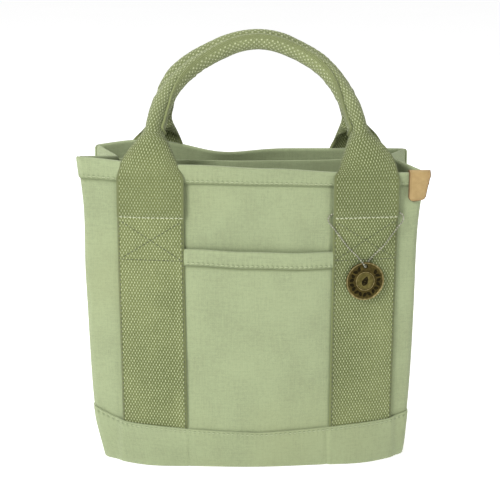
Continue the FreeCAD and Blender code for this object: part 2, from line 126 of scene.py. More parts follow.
class Recipe:
    """A material made of nodes. Its noises and places are what the finishes below are mixed from."""

    def __init__(self, name):
        self.material = bpy.data.materials.new(name)
        self.material.use_nodes = True
        self.tree = self.material.node_tree
        self.surface = self.tree.nodes["Principled BSDF"]

    def node(self, kind, settings=None, inputs=None, output=0):
        made = self.tree.nodes.new(kind)
        for key, value in (settings or {}).items():
            setattr(made, key, value)
        for key, value in (inputs or {}).items():
            if isinstance(value, Flow):
                self.tree.links.new(value.socket, made.inputs[key])
            else:
                made.inputs[key].default_value = value
        return Flow(self, made.outputs[output])

    def cloth_place(self):
        """Metres across and metres up the piece's own cloth."""
        place = self.node("ShaderNodeUVMap", {"uv_map": "cloth"})
        across = self.node("ShaderNodeSeparateXYZ", {}, {0: place}, 0)
        up = self.node("ShaderNodeSeparateXYZ", {}, {0: place}, 1)
        return place, across, up

    def noise(self, vector, scale, detail=3.0, roughness=0.55):
        return self.node(
            "ShaderNodeTexNoise", {},
            {"Vector": vector, "Scale": scale, "Detail": detail, "Roughness": roughness},
        )

    def stretched(self, vector, x, y, z=1.0):
        return self.node("ShaderNodeVectorMath", {"operation": "MULTIPLY"}, {0: vector, 1: (x, y, z)})

    def object_place(self):
        return self.node("ShaderNodeTexCoord", {}, {}, 3)

    def mix(self, factor, first, second):
        """The first colour where the factor is 0, and the second where it is 1."""
        made = self.node("ShaderNodeMix", {"data_type": "RGBA", "clamp_factor": True}, {0: factor}, 2)
        mixer = made.socket.node
        for index, colour in ((6, first), (7, second)):
            if isinstance(colour, Flow):
                self.tree.links.new(colour.socket, mixer.inputs[index])
            else:
                mixer.inputs[index].default_value = (*colour, 1)
        return made

    def bump(self, height, strength, distance):
        return self.node("ShaderNodeBump", {}, {"Height": height, "Strength": strength, "Distance": distance})

    def finish(self, **sockets):
        for name, value in sockets.items():
            socket = self.surface.inputs[name.replace("_", " ")]
            if isinstance(value, Flow):
                self.tree.links.new(value.socket, socket)
            else:
                socket.default_value = value
        return self.material


# %% [markdown]
# The canvas is a heavy plain weave of dyed cotton. Two crossed sine waves give the over and under of
# the threads, long thin noise gives the thicker threads that run through it, and broad noise gives
# the washed patches. Metres on the cloth set the size of the weave, whatever shape the piece takes. A
# number on every point makes the cloth paler where it is above 0, and below 0 darkens it with painted
# shade.

# %% Canvas
CANVAS_GREEN = (0.292, 0.340, 0.190)
THREAD_STEP = 0.85 * MM


def tinted(*parts):
    """The canvas green with its red, green and blue taken so many times."""
    return tuple(min(1.0, channel * part) for channel, part in zip(CANVAS_GREEN, parts))


def canvas_material():
    r = Recipe("canvas")
    place, across, up = r.cloth_place()
    warp = (across * (2 * math.pi / THREAD_STEP)).math("SINE")
    weft = (up * (2 * math.pi / THREAD_STEP)).math("SINE")
    weave = warp * weft * 0.5 + 0.5
    slub = r.noise(r.stretched(place, 60, 1500), 1.0, 2.0) + r.noise(r.stretched(place, 1500, 60), 1.0, 2.0)
    grain = r.noise(place, 1300.0, 3.0, 0.7)
    fleck = r.noise(place, 420.0, 2.0, 0.6)
    wash = r.noise(r.object_place(), 26.0, 5.0, 0.62)
    pale_and_shade = r.node("ShaderNodeAttribute", {"attribute_name": "pale_and_shade"}, {}, 2)
    shade = wash * 0.30 + slub * 0.17 + grain * 0.30 + fleck * 0.18 + weave * 0.08
    dyed = r.mix(shade.clipped(0.38, 0.74), tinted(0.80, 0.80, 0.80), tinted(1.17, 1.17, 1.17))
    warm_patches = r.noise(r.object_place(), 9.0, 2.0).clipped(0.45, 0.75)
    warmed = r.mix(warm_patches * 0.2, dyed, tinted(1.10, 1.0, 0.84))
    # Paler cloth where the number is above 0, painted shade where it is below 0.
    rubbed = r.mix(pale_and_shade.clipped(0.0, 1.0) * 0.55, warmed, tinted(1.38, 1.38, 1.38))
    shadowed = r.mix((0 - pale_and_shade).clipped(0.0, 1.0) * 0.6, rubbed, tinted(0.50, 0.52, 0.42))
    height = weave * 0.5 + slub * 0.15 + grain * 0.5 + fleck * 0.25
    return r.finish(
        Base_Color=shadowed, Roughness=0.86 + grain * 0.1, Normal=r.bump(height, 0.8, 0.0005),
        Sheen_Weight=0.2, Sheen_Roughness=0.5, Specular_IOR_Level=0.25,
    )


canvas = canvas_material()
print(canvas.name, len(canvas.node_tree.nodes), "nodes")


# %% [markdown]
# The webbing is a thick double weave in a darker olive. Pale warp floats sit on it as rows of small
# raised grains, each row shifted by half a step: the product of two cosines gives that lattice. The
# grains are counted in metres along the strap, so they follow the cloth where the handle rolls. The
# crown of a handle is rubbed paler, and its flat feet are darkened with painted shade.

# %% Webbing
WEBBING_WIDTH = 50 * MM
GRAIN_ACROSS = 2.26 * MM
GRAIN_ALONG = 2.06 * MM
SELVEDGE = 2.1 * MM
SELVEDGE_CORD = 0.75 * MM
HANDLE_FROM = 193 * MM
HANDLE_CROWN = 371 * MM


def webbing_material():
    r = Recipe("webbing")
    place, across, along = r.cloth_place()
    inner_edge = WEBBING_WIDTH / 2 - SELVEDGE
    edge = across.math("ABSOLUTE").clipped(inner_edge, inner_edge + 0.8 * MM)
    rows = along / GRAIN_ALONG + (r.noise(place, 190.0, 1.0) - 0.5) * 0.3
    columns = across / GRAIN_ACROSS + (r.noise(place, 260.0, 2.0) - 0.5) * 0.25
    lattice = (columns * (2 * math.pi)).math("COSINE") * (rows * math.pi).math("COSINE")
    uneven = r.noise(place, 700.0, 1.0).clipped(0.3, 0.65) * 0.5 + 0.5
    grains = lattice.clipped(-0.1, 0.85) * (1 - edge)
    rib = (across * (4 * math.pi / GRAIN_ACROSS)).math("SINE") * 0.5 + 0.5
    cord = (across * (2 * math.pi / SELVEDGE_CORD)).math("SINE") * 0.5 + 0.5
    fibre = r.noise(r.stretched(place, 2600, 700), 1.0, 2.0, 0.7)
    wash = r.noise(r.object_place(), 18.0, 3.0)
    olive = r.mix(wash.clipped(0.35, 0.7), (0.100, 0.122, 0.037), (0.152, 0.178, 0.062))
    ground = r.mix(fibre.clipped(0.35, 0.75) * 0.4, olive, (0.220, 0.253, 0.108))
    woven = r.mix(grains * uneven * 0.9, ground, (0.515, 0.560, 0.320))
    from_crown = (along - HANDLE_CROWN).math("ABSOLUTE")
    on_handle = along.clipped(HANDLE_FROM, HANDLE_FROM + 1 * MM)
    # Painted shade on the handle's feet, the part of the handle furthest from its crown.
    shaded = r.mix(from_crown.clipped(125 * MM, 150 * MM) * on_handle * 0.2, woven, (0.080, 0.098, 0.030))
    rubbed = r.mix((1 - from_crown.clipped(80 * MM, 130 * MM)) * 0.13, shaded, (0.52, 0.56, 0.34))
    colour = r.mix(edge * (0.45 + cord * 0.4), rubbed, (0.205, 0.232, 0.100))
    height = grains * 0.9 + rib * 0.18 * (1 - edge) + fibre * 0.22 + cord * edge * 0.6
    return r.finish(
        Base_Color=colour, Roughness=0.9, Normal=r.bump(height, 0.85, 0.0008),
        Sheen_Weight=0.15, Sheen_Roughness=0.5, Specular_IOR_Level=0.2,
    )


webbing = webbing_material()
print(webbing.name, len(webbing.node_tree.nodes), "nodes")


# %% [markdown]
# Thread, leather and the two metals. The thread is a paler cotton. The tan leather has a fine pebbled
# grain, a pressed border line and darker cut edges. The tag is brass that has gone brown in its
# hollows and rubs bright on whatever stands proud.

# %% Thread, leather and metals
TAB_WIDTH = 16.5 * MM
TAB_DROP = 25.5 * MM


def thread_material(name, dark, light):
    r = Recipe(name)
    twist = r.noise(r.object_place(), 1800.0, 2.0)
    colour = r.mix(twist.clipped(0.35, 0.65), dark, light)
    return r.finish(Base_Color=colour, Roughness=0.7, Normal=r.bump(twist, 0.4, 0.0002), Sheen_Weight=0.2)


def leather_material():
    r = Recipe("tan leather")
    place, across, up = r.cloth_place()
    cells = r.node(
        "ShaderNodeTexVoronoi", {"feature": "DISTANCE_TO_EDGE"}, {"Vector": place, "Scale": 1500.0},
    )
    pores = r.noise(place, 2400.0, 3.0, 0.6)
    patches = r.noise(place, 130.0, 4.0, 0.6)
    inset = ((TAB_WIDTH / 2 - across.math("ABSOLUTE")) / MM).math("MINIMUM", up / MM)
    line = 1 - (inset - 1.7).math("ABSOLUTE").clipped(0.12, 0.42)
    edge = 1 - inset.clipped(0.35, 1.0)
    tan = r.mix(patches.clipped(0.3, 0.7), (0.335, 0.228, 0.088), (0.415, 0.292, 0.122))
    marked = r.mix(pores.clipped(0.5, 0.8) * 0.35, tan, (0.36, 0.22, 0.085))
    pressed = r.mix(line * 0.45, marked, (0.27, 0.155, 0.055))
    colour = r.mix(edge * 0.9, pressed, (0.12, 0.062, 0.022))
    height = cells.clipped(0.0, 0.25) * 0.35 + pores * 0.3 - line * 1.2
    return r.finish(
        Base_Color=colour, Roughness=0.5 + patches * 0.15, Normal=r.bump(height, 0.5, 0.0003),
        Specular_IOR_Level=0.4,
    )


def metal_material(name, dark, bright, scale, roughness, metallic=1.0):
    r = Recipe(name)
    place = r.object_place()
    cloud = r.noise(place, scale, 5.0, 0.65)
    scratch = r.noise(r.stretched(place, 300, 300, 2400), 1.0, 2.0)
    colour = r.mix(cloud.clipped(0.35, 0.7), dark, bright)
    return r.finish(
        Base_Color=colour, Metallic=metallic, Roughness=roughness + cloud * 0.2,
        Normal=r.bump(scratch * 0.5 + cloud * 0.5, 0.25, 0.0001),
    )


thread = thread_material("thread", (0.28, 0.33, 0.175), (0.42, 0.47, 0.28))
pale_thread = thread_material("pale thread", (0.42, 0.45, 0.28), (0.62, 0.65, 0.46))
olive_thread = thread_material("olive thread", (0.050, 0.062, 0.020), (0.120, 0.142, 0.055))
leather = leather_material()
brown_brass = metal_material("brown brass", (0.036, 0.027, 0.005), (0.085, 0.064, 0.014), 420.0, 0.42, 0.85)
rubbed_brass = metal_material("rubbed brass", (0.15, 0.12, 0.045), (0.31, 0.26, 0.12), 520.0, 0.34)
dark_brass = metal_material("dark brass", (0.012, 0.009, 0.003), (0.028, 0.022, 0.007), 520.0, 0.6, 0.95)
worn_brass = metal_material("worn brass", (0.075, 0.062, 0.015), (0.145, 0.122, 0.036), 420.0, 0.4, 0.85)
steel = metal_material("steel", (0.30, 0.30, 0.24), (0.56, 0.55, 0.45), 300.0, 0.3)
print(len(bpy.data.materials), "materials so far")


# %% [markdown]
# Everything sewn hangs on the shape of the two walls, so the walls come first as a formula. In plan a
# wall is an arc, tight at the base and nearly flat at the rim, and it leans in as it rises. A little
# noise gives it the soft dents of cloth that has been folded and filled. A place on a wall is named by
# x, by how far up the cloth it is, and by how far it stands off the wall.

# %% The shape of the walls
RIM_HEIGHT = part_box("front_panel")[1][2]
BASE_HALF_DEPTH = 57 * MM
RIM_HALF_DEPTH = 40 * MM
BASE_ARC = 290 * MM
RIM_ARC = 1050 * MM
CLOTH = 1.6 * MM
GAP = 0.2 * MM
WEBBING = 2 * MM
STITCH_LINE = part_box("front_right_strap")[1][2]
STRAP_CENTRE = (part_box("front_right_strap")[0][0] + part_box("front_right_strap")[1][0]) / 2
POCKET_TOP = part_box("front_pocket")[1][2]
BAND_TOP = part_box("front_base_band")[1][2]
CLEAR_OF_FLOOR = 0.4 * MM
FRONT, REAR = -1, 1


def ease(value, low, high):
    """0 before low, 1 after high, and smooth between."""
    share = min(1.0, max(0.0, (value - low) / (high - low)))
    return share * share * (3 - 2 * share)


def mound(value, centre, reach):
    """1 at the centre, falling off smoothly on both sides, with about a third left at its reach."""
    return math.exp(-((value - centre) / reach) ** 2)


def dent(x, up, side):
    """The soft unevenness of the cloth, in metres."""
    broad = noise.noise(Vector((x * 14, up * 11, side * 3.7)))
    fine = noise.noise(Vector((x * 45, up * 38, 5.1 + side)))
    return (broad * 1.5 + fine * 0.35) * MM * ease(up, 0.0, 0.05)


def rim_lift(side, x):
    """How far the rim's edge stands above or below its mean height."""
    if side == FRONT:
        right = 2.6 * ease(x, -0.05, 0.01) + 3.2 * ease(x, 0.01, 0.065) + 1.4 * ease(x, 0.065, 0.13)
        return (3.6 * ease(-x, 0.07, 0.135) - right) * MM
    return (6.5 * mound(x, -0.086, 0.042) - 4.6 * mound(x, -0.024, 0.03) - 1.0 * mound(x, 0.04, 0.05)) * MM


def wall(side, x, up, out=0.0):
    """A place on the front or rear wall, out being metres off its outer face."""
    share = min(1.0, max(0.0, up / RIM_HEIGHT))
    bend = (1 - share) / BASE_ARC + share / RIM_ARC
    depth = (1 - share) * BASE_HALF_DEPTH + share * RIM_HALF_DEPTH
    back = 1 / bend - math.sqrt(1 / bend**2 - x * x)
    tucked = 1.2 * MM * max(0.0, 1 - up / (5 * MM)) ** 2
    y = depth - back + out + dent(x, up, side) - tucked
    if side == FRONT:
        y -= 5.0 * MM * ease(-x, 0.085, 0.14) * share**3
    return Vector((x, side * y, up + rim_lift(side, x) * share**18))


def edge_x(side, hand, up):
    """The x of a wall's left (-1) or right (1) edge at a height."""
    rise = up / RIM_HEIGHT
    flare = 8.0 if side == FRONT else -1.0
    reach = 115 + 8.5 * (1 - math.exp(-up / (35 * MM))) + flare * rise**4
    drift = 2.6 * rise if side == FRONT else 1.5 * rise
    if side == FRONT and hand < 0:
        reach += 2.0 + 2.6 * ease(rise, 0.0, 0.15) - 3.4 * ease(rise, 0.62, 0.9)
    if side == FRONT and hand > 0:
        reach += 1.0 * (1 - ease(rise, 0.0, 0.2)) - 2.0 * mound(rise, 0.82, 0.2)
    return (hand * reach - drift) * MM


# %% [markdown]
# A piece of cloth starts as a flat grid. Each of its points is then carried to its place by a function
# of where it is in the cut piece, from left to right and from bottom to top as seen from outside. Its
# map is written in metres, Solidify gives it its thickness on the inner side, and a small bevel takes
# the sharpness off the cut edge.

# %% Cutting and laying cloth
def alone(piece):
    bpy.ops.object.select_all(action="DESELECT")
    piece.select_set(True)
    bpy.context.view_layer.objects.active = piece


def apply_all(piece):
    alone(piece)
    for modifier in list(piece.modifiers):
        bpy.ops.object.modifier_apply(modifier=modifier.name)


def cut_cloth(
    name, width, height, place, material, thickness,
    step=2.6 * MM, start=(0.0, 0.0), rounded=0.35, pale_and_shade=None,
):
    """A cut piece of cloth laid by place(across, up), each from 0 to 1."""
    bpy.ops.object.select_all(action="DESELECT")
    columns = max(4, round(width / step))
    rows = max(4, round(height / step))
    bpy.ops.mesh.primitive_grid_add(x_subdivisions=columns, y_subdivisions=rows, size=1, calc_uvs=True)
    piece = bpy.context.object
    piece.name = piece.data.name = name
    mesh = piece.data
    mesh.uv_layers[0].name = "cloth"
    spots = [(v.co.x + 0.5, v.co.y + 0.5) for v in mesh.vertices]
    for loop in mesh.loops:
        a, b = spots[loop.vertex_index]
        mesh.uv_layers["cloth"].data[loop.index].uv = ((a - 0.5) * width + start[0], b * height + start[1])
    # Each point gets a number: painted shade where it is below 0, paler cloth where it is above 0.
    if pale_and_shade:
        marked = mesh.attributes.new("pale_and_shade", "FLOAT", "POINT")
        for point, (a, b) in zip(marked.data, spots):
            point.value = pale_and_shade(a, b)
    for vertex, (a, b) in zip(mesh.vertices, spots):
        vertex.co = place(a, b)
    mesh.materials.append(material)
    shell = piece.modifiers.new("thickness", "SOLIDIFY")
    shell.thickness = thickness
    shell.offset = -1
    shell.use_even_offset = True
    trim = piece.modifiers.new("edge", "BEVEL")
    trim.width = thickness * rounded
    trim.segments = 2
    trim.limit_method = "ANGLE"
    trim.angle_limit = math.radians(50)
    apply_all(piece)
    alone(piece)
    bpy.ops.object.shade_smooth_by_angle(angle=math.radians(50))
    return piece


def settle(piece, body, slot, *nodes):
    """Say which body a piece rides on and which frame pieces it stands for; slot is not used."""
    if body:
        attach(piece, body)
    if nodes:
        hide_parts(*nodes)
    return piece


# %% [markdown]
# The two big walls. Their side edges turn inwards over the last few millimetres, as a sewn corner does.

# %% Front and rear walls
def wall_place(side):
    def place(a, b):
        up = CLEAR_OF_FLOOR + (RIM_HEIGHT - CLEAR_OF_FLOOR) * b
        left, right = (edge_x(side, hand, up) for hand in (-1, 1))
        x = left + (right - left) * (a if side == FRONT else 1 - a)
        spot = wall(side, x, up)
        near_edge = min(x - left, right - x)
        spot.y -= side * 2.6 * MM * max(0.0, 1 - near_edge / (4 * MM)) ** 2
        return spot

    return place


STRAP_SHADE = WEBBING_WIDTH / 2 + 1.2 * MM
STRIP_SHADE = 12.6 * MM


def wall_painted_shade(side, width):
    """A wall has painted shade beside its straps, under its strip and at its pocket's mouth."""
    place = wall_place(side)

    def pale_and_shade(a, b):
        x, up = place(a, b).x, b * RIM_HEIGHT
        # Painted shade beside each strap, strongest on its inner side, under the rim strip and at the
        # pocket's mouth.
        beside = mound(abs(x) - STRAP_CENTRE, -STRAP_SHADE, 1.5 * MM)
        beside += 0.3 * mound(abs(x) - STRAP_CENTRE, STRAP_SHADE, 1.5 * MM)
        below = mound(up, RIM_HEIGHT - STRIP_SHADE, 1.4 * MM)
        mouth = mound(up, POCKET_TOP + 1.8 * MM, 1.6 * MM) if side == FRONT and abs(x) < 57 * MM else 0.0
        corner = 0.5 * mound(abs(x), width / 2, 2.5 * MM) * noise.noise(Vector((up * 40, side, 2)))
        return corner - 0.8 * beside - 0.6 * below - 0.1 * mouth

    return pale_and_shade


for side, label in ((FRONT, "front"), (REAR, "rear")):
    cut = (262 * MM if side == FRONT else 246 * MM, RIM_HEIGHT)
    panel = cut_cloth(
        f"{label}_wall", *cut, wall_place(side), canvas, CLOTH, step=1.6 * MM, pale_and_shade=wall_painted_shade(side, cut[0]),
    )
    settle(panel, "bag", "canvas", f"{label}_panel")
    print(panel.name, len(panel.data.polygons), "faces")


# %% [markdown]
# The two sides fold inwards between the walls, so that the bag can be carried flat. Each side is one
# piece of canvas: straight at the base, and a soft V at the rim, with its fold on the centre line.

# %% The sides
FOLD_AT_BASE = 117 * MM
FOLD_AT_RIM = 106.5 * MM
FOLD_SOFTNESS = 0.018
SIDE_WIDTH = 70 * MM


def side_wall(hand, turn, up, out=0.0):
    """A place on a side, turn being -1 at the front corner, 0 at the fold and 1 at the rear corner."""
    share = min(1.0, max(0.0, up / RIM_HEIGHT))
    side = FRONT if turn < 0 else REAR
    corner_x = edge_x(side, hand, up)
    corner = wall(side, corner_x, up)
    fold = hand * (FOLD_AT_BASE + share * (FOLD_AT_RIM - FOLD_AT_BASE)) - 2.6 * MM * share
    sharp = math.sqrt(FOLD_SOFTNESS)
    spread = (math.sqrt(turn * turn + FOLD_SOFTNESS) - sharp) / (math.sqrt(1 + FOLD_SOFTNESS) - sharp)
    x = fold + (corner_x - hand * 0.9 * MM - fold) * spread
    y = abs(turn) * (corner.y - side * 3.4 * MM)
    wave = noise.noise(Vector((y * 30, up * 16, 9.0 + hand))) * 1.6 * MM * (1 - turn * turn)
    lift = (corner.z - up) * abs(turn)
    tucked = 2.2 * MM * max(0.0, 1 - up / (5 * MM)) ** 2
    return Vector((x + hand * (out + wave - tucked), y, up + lift))


def side_place(hand):
    def place(a, b):
        return side_wall(hand, hand * (2 * a - 1), CLEAR_OF_FLOOR + (RIM_HEIGHT - CLEAR_OF_FLOOR) * b)

    return place


for hand, label in ((-1, "left"), (1, "right")):
    cut = (SIDE_WIDTH, RIM_HEIGHT)
    gusset = cut_cloth(f"{label}_side", *cut, side_place(hand), canvas, CLOTH)
    settle(gusset, "bag", "canvas", f"{label}_gusset")
    print(gusset.name, len(gusset.data.polygons), "faces")


# %% [markdown]
# The base is an oval of the same canvas, sewn to the foot of every side. It sags a little between its
# seams. The divider is a single cloth from one fold to the other, and makes two compartments.

# %% Base and divider
def base_place(a, b):
    x = (edge_x(FRONT, -1, 0) + (edge_x(FRONT, 1, 0) - edge_x(FRONT, -1, 0)) * a) * 0.985
    front = wall(FRONT, x, 3 * MM).y + 2.0 * MM
    rear = wall(REAR, x, 3 * MM).y - 2.0 * MM
    dome = noise.noise(Vector((x * 22, b * 2.0, 1.3))) * 0.8 * MM
    edge = min(a, 1 - a, b, 1 - b)
    return Vector((x, front + (rear - front) * b, 2.0 * MM + abs(dome) * ease(edge, 0, 0.1)))


base_cut = (229 * MM, 111 * MM)
base_cloth = cut_cloth("base_cloth", *base_cut, base_place, canvas, CLOTH)
settle(base_cloth, "bag", "canvas", "base_panel")

DIVIDER_FOOT = 3.6 * MM


def divider_place(a, b):
    up = DIVIDER_FOOT + (RIM_HEIGHT - DIVIDER_FOOT) * b
    share = up / RIM_HEIGHT
    left, right = (side_wall(hand, 0.0, up).x - hand * 1.9 * MM for hand in (-1, 1))
    x = left + (right - left) * a
    wave = noise.noise(Vector((x * 18, up * 9, 31.0))) * 3.0 * MM * math.sin(math.pi * a)
    sag = 2.0 * MM * math.sin(math.pi * a) * share**3
    return Vector((x, wave, up - sag))


divider_cut = (226 * MM, 226 * MM)
divider = cut_cloth("middle_divider", *divider_cut, divider_place, canvas, CLOTH)
settle(divider, "bag", "canvas", "centre_divider")
print(divider.name, len(divider.data.polygons), "faces")


# %% [markdown]
# A strip of canvas is folded over every rim. Its outer leg shows as a pale border about a finger
# wide, its inner leg hides the raw edge of the wall. Along every seam, painted shade between the
# stitches stands for the cloth pulled in there.

# %% Rim strips
STRIP = 1.2 * MM
STRIP_DROP = 11.5 * MM
STRIP_SEAM = 1.6 * MM
STITCH_STEP = 3.7 * MM


def over_the_rim(surface, drop_out, drop_in, cloth, thickness, top=RIM_HEIGHT, gap=GAP):
    """A place function for a strip folded over the top edge of a surface(a, up, out)."""
    radius = cloth / 2 + gap + thickness
    fold = math.pi * radius
    total = drop_out + fold + drop_in

    def place(a, b):
        run = b * total
        if run < drop_out:
            return surface(a, top - drop_out + run, gap + thickness)
        if run < drop_out + fold:
            angle = (run - drop_out) / radius
            spot = surface(a, top, -cloth / 2 + radius * math.cos(angle))
            spot.z += radius * math.sin(angle)
            return spot
        return surface(a, top - (run - drop_out - fold), -cloth - gap - thickness)

    return place, total


def puckered(along, away):
    """Painted shade along a seam: metres along its line and away from it, darkest between two stitches."""
    turn = math.cos(2 * math.pi * along / STITCH_STEP)
    wrinkle = 0.3 * turn * mound(away, 2.0 * MM, 1.8 * MM)
    return -1.35 * (0.5 + 0.6 * turn) * mound(away, 0.0, 0.85 * MM) - wrinkle


def strip_pale_and_shade(width, length):
    """A rim strip is paler along its fold, with painted shade along its seam and its lower edge."""
    def pale_and_shade(a, b):
        up = b * length
        patchy = 0.6 + 0.8 * abs(noise.noise(Vector((a * 30, 0, 4))))
        fold = 0.55 * mound(up, STRIP_DROP + 3 * MM, 2.2 * MM) * patchy
        # Painted shade between the stitches of the seam and along the lower edge.
        return fold + puckered(a * width, up - STRIP_SEAM) - mound(up, 0.0, 0.8 * MM)

    return pale_and_shade


def wall_surface(side, margin=0.2 * MM):
    def surface(a, up, out):
        left, right = (edge_x(side, hand, up) + hand * margin for hand in (-1, 1))
        x = left + (right - left) * (a if side == FRONT else 1 - a)
        spot = wall(side, x, up, out)
        near_edge = min(x - left, right - x)
        spot.y -= side * 2.2 * MM * max(0.0, 1 - near_edge / (3.5 * MM)) ** 2
        return spot

    return surface


for side, label in ((FRONT, "front"), (REAR, "rear")):
    place, length = over_the_rim(wall_surface(side), STRIP_DROP, STRIP_DROP, CLOTH, STRIP)
    cut = (262 * MM if side == FRONT else 244 * MM, length)
    strip = cut_cloth(f"{label}_rim_strip", *cut, place, canvas, STRIP, step=0.8 * MM, pale_and_shade=strip_pale_and_shade(*cut))
    settle(strip, "bag", "canvas", f"{label}_rim_facing")

for hand, label in ((-1, "left"), (1, "right")):
    def surface(a, up, out, hand=hand):
        return side_wall(hand, hand * (2 * a - 1) * 0.975, up, out)

    place, length = over_the_rim(surface, STRIP_DROP, STRIP_DROP, CLOTH, STRIP)
    cut = (0.071, length)
    strip = cut_cloth(f"{label}_rim_strip", *cut, place, canvas, STRIP, step=0.8 * MM, pale_and_shade=strip_pale_and_shade(*cut))
    settle(strip, "bag", "canvas", f"{label}_rim_facing")
    print(strip.name, len(strip.data.polygons), "faces")


# %% [markdown]
# Two flat straps of webbing run up each wall. They are held by a row of stitches along each edge,
# they pass under the band at the base, and their inner edges lie over the sides of the pocket.

# %% Flat straps
STRAP_HALF = WEBBING_WIDTH / 2
STRAP_END = STITCH_LINE - 0.6 * MM
POCKET_HALF = 58 * MM


def strap_middle(side, hand, up):
    """The x of a strap's centre line; the front left one drifts at its foot."""
    drift = 2.6 * MM * (1 - ease(up, 0.0, 0.2)) if side == FRONT and hand < 0 else 0.0
    return hand * STRAP_CENTRE + drift


def strap_out(side, x, up):
    """How far a strap's outer face stands off the wall, over the pocket's edge or beside it."""
    lap = 1.7 * MM * (1 - ease(abs(x), 57 * MM, 62 * MM))
    beside_pocket = ease(up, 28 * MM, 33 * MM) * (1 - ease(up, POCKET_TOP, POCKET_TOP + 5 * MM))
    return GAP + WEBBING + (lap * beside_pocket if side == FRONT else 0.0)


def strap_spot(side, hand, across, up, out=0.0):
    x = strap_middle(side, hand, up) + across
    return wall(side, x, up, strap_out(side, x, up) + out)


def strap_place(side, hand):
    def place(a, b):
        across = (a - 0.5) * WEBBING_WIDTH * (1 if side == FRONT else -1)
        return strap_spot(side, hand, across, 0.6 * MM + (STRAP_END - 0.6 * MM) * b)

    return place


for side, wall_name in ((FRONT, "front"), (REAR, "rear")):
    for hand in (-1, 1):
        node = f"{wall_name}_{'left' if hand < 0 else 'right'}_strap"
        strap = cut_cloth(
            node + "_webbing", WEBBING_WIDTH, STRAP_END, strap_place(side, hand), webbing, WEBBING,
            step=2.2 * MM, rounded=0.4,
        )
        settle(strap, "bag", "webbing", node)
        print(strap.name, len(strap.data.polygons), "faces")


# %% [markdown]
# The pocket is a plain square of canvas between the straps. Its mouth stands a little off the wall,
# and a turned hem runs along it, so the mouth is where it is thickest.

# %% Pocket
POCKET_FOOT = 24 * MM
HEM = 10.2 * MM
HEM_SEAM = 1.7 * MM
HEM_INSIDE = 3 * MM


def pocket_top_at(x):
    """The pocket's mouth hangs lower to the right, and is a little uneven."""
    sunk = (1.0 + 2.4 * ease(x, -0.05, 0.045)) * MM
    return POCKET_TOP - sunk + 0.7 * MM * noise.noise(Vector((x * 30, 2, 7)))


def pocket_spot(x, up, out=0.0):
    rise = ease(up, 0.06, POCKET_TOP)
    belly = (1 - (x / POCKET_HALF) ** 2) ** 0.6 if abs(x) < POCKET_HALF else 0.0
    bulge = 3.0 * MM * rise * belly
    soft = 0.6 * MM * noise.noise(Vector((x * 35, up * 25, 17.0))) * belly
    return wall(FRONT, x, up, GAP + CLOTH + bulge + soft + out)


def pocket_place(a, b):
    x = (2 * a - 1) * POCKET_HALF
    return pocket_spot(x, POCKET_FOOT + (pocket_top_at(x) - POCKET_FOOT) * b)


pocket_cut = (2 * POCKET_HALF, POCKET_TOP - POCKET_FOOT)


def pocket_painted_shade(a, b):
    """The pocket has painted shade just under its hem, and beside the straps."""
    down = (1 - b) * pocket_cut[1]
    side_shade = mound(abs(a - 0.5) * pocket_cut[0], 55.4 * MM, 1.3 * MM)
    # Painted shade under the hem and beside the straps.
    return -1.2 * mound(down, HEM + 0.9 * MM, 1.4 * MM) - 0.7 * side_shade


pocket = cut_cloth(
    "front_pocket_cloth", *pocket_cut, pocket_place, canvas, CLOTH, step=1.4 * MM, start=(0.004, 0),
    pale_and_shade=pocket_painted_shade,
)
settle(pocket, "bag", "canvas", "front_pocket")


def hem_place(a, b):
    x = (2 * a - 1) * (POCKET_HALF - 1.5 * MM)
    place, _ = over_the_rim(
        pocket_spot, HEM, HEM_INSIDE, CLOTH, STRIP, top=pocket_top_at(x), gap=0.1 * MM,
    )
    return place(x, b)


hem_cut = (2 * POCKET_HALF - 3 * MM, HEM + HEM_INSIDE + 6 * MM)


def hem_pale_and_shade(a, b):
    """The hem is paler along the pocket's mouth, with painted shade along its seam and lower edge."""
    up = b * hem_cut[1]
    patchy = 0.5 + abs(noise.noise(Vector((a * 20, 0, 6))))
    fold = 0.8 * mound(up, HEM + 1.5 * MM, 2.0 * MM) * patchy
    # Painted shade between the stitches of the seam and along the lower edge.
    return fold + puckered(a * hem_cut[0], up - HEM_SEAM) - 1.2 * mound(up, 0.0, 0.8 * MM)


hem = cut_cloth(
    "front_pocket_hem_strip", *hem_cut, hem_place, canvas, STRIP,
    step=0.8 * MM, start=(0.1, 0.3), pale_and_shade=hem_pale_and_shade,
)
settle(hem, "bag", "canvas", "front_pocket_hem")
print(hem.name, len(hem.data.polygons), "faces")


# %% [markdown]
# A wide band goes round the foot of the bag and covers the ends of the straps and of the pocket. It
# bulges a little where it passes over a strap, and its top edge rises towards the corners.

# %% Base bands
BAND_SEAM = 2.1 * MM
BAND_FOOT = 0.3 * MM


def band_top(x):
    corner = 10 * MM * ease(-x, 0.092, 0.132) ** 1.3 + 2.4 * MM * ease(x, 0.100, 0.122)
    return BAND_TOP - 1.6 * MM + 0.037 * abs(x) + corner


def band_out(side, x, up):
    over = 0.0
    for hand in (-1, 1):
        away = abs(x - strap_middle(side, hand, up))
        over = max(over, WEBBING * (1 - ease(away, STRAP_HALF - 1 * MM, STRAP_HALF + 5 * MM)))
    if side == FRONT:
        over = max(over, 1.7 * MM * (1 - ease(abs(x), 50 * MM, 58 * MM)))
    ripple = 0.5 * MM * noise.noise(Vector((x * 40, up * 60, 23.0)))
    flare = (1.4 + 6.0 * mound(abs(x), 0.086, 0.03)) * MM * (1 - ease(up, 0, 24 * MM))
    return GAP + CLOTH + 0.15 * MM + over + flare + ripple * ease(up, 0, 0.012)


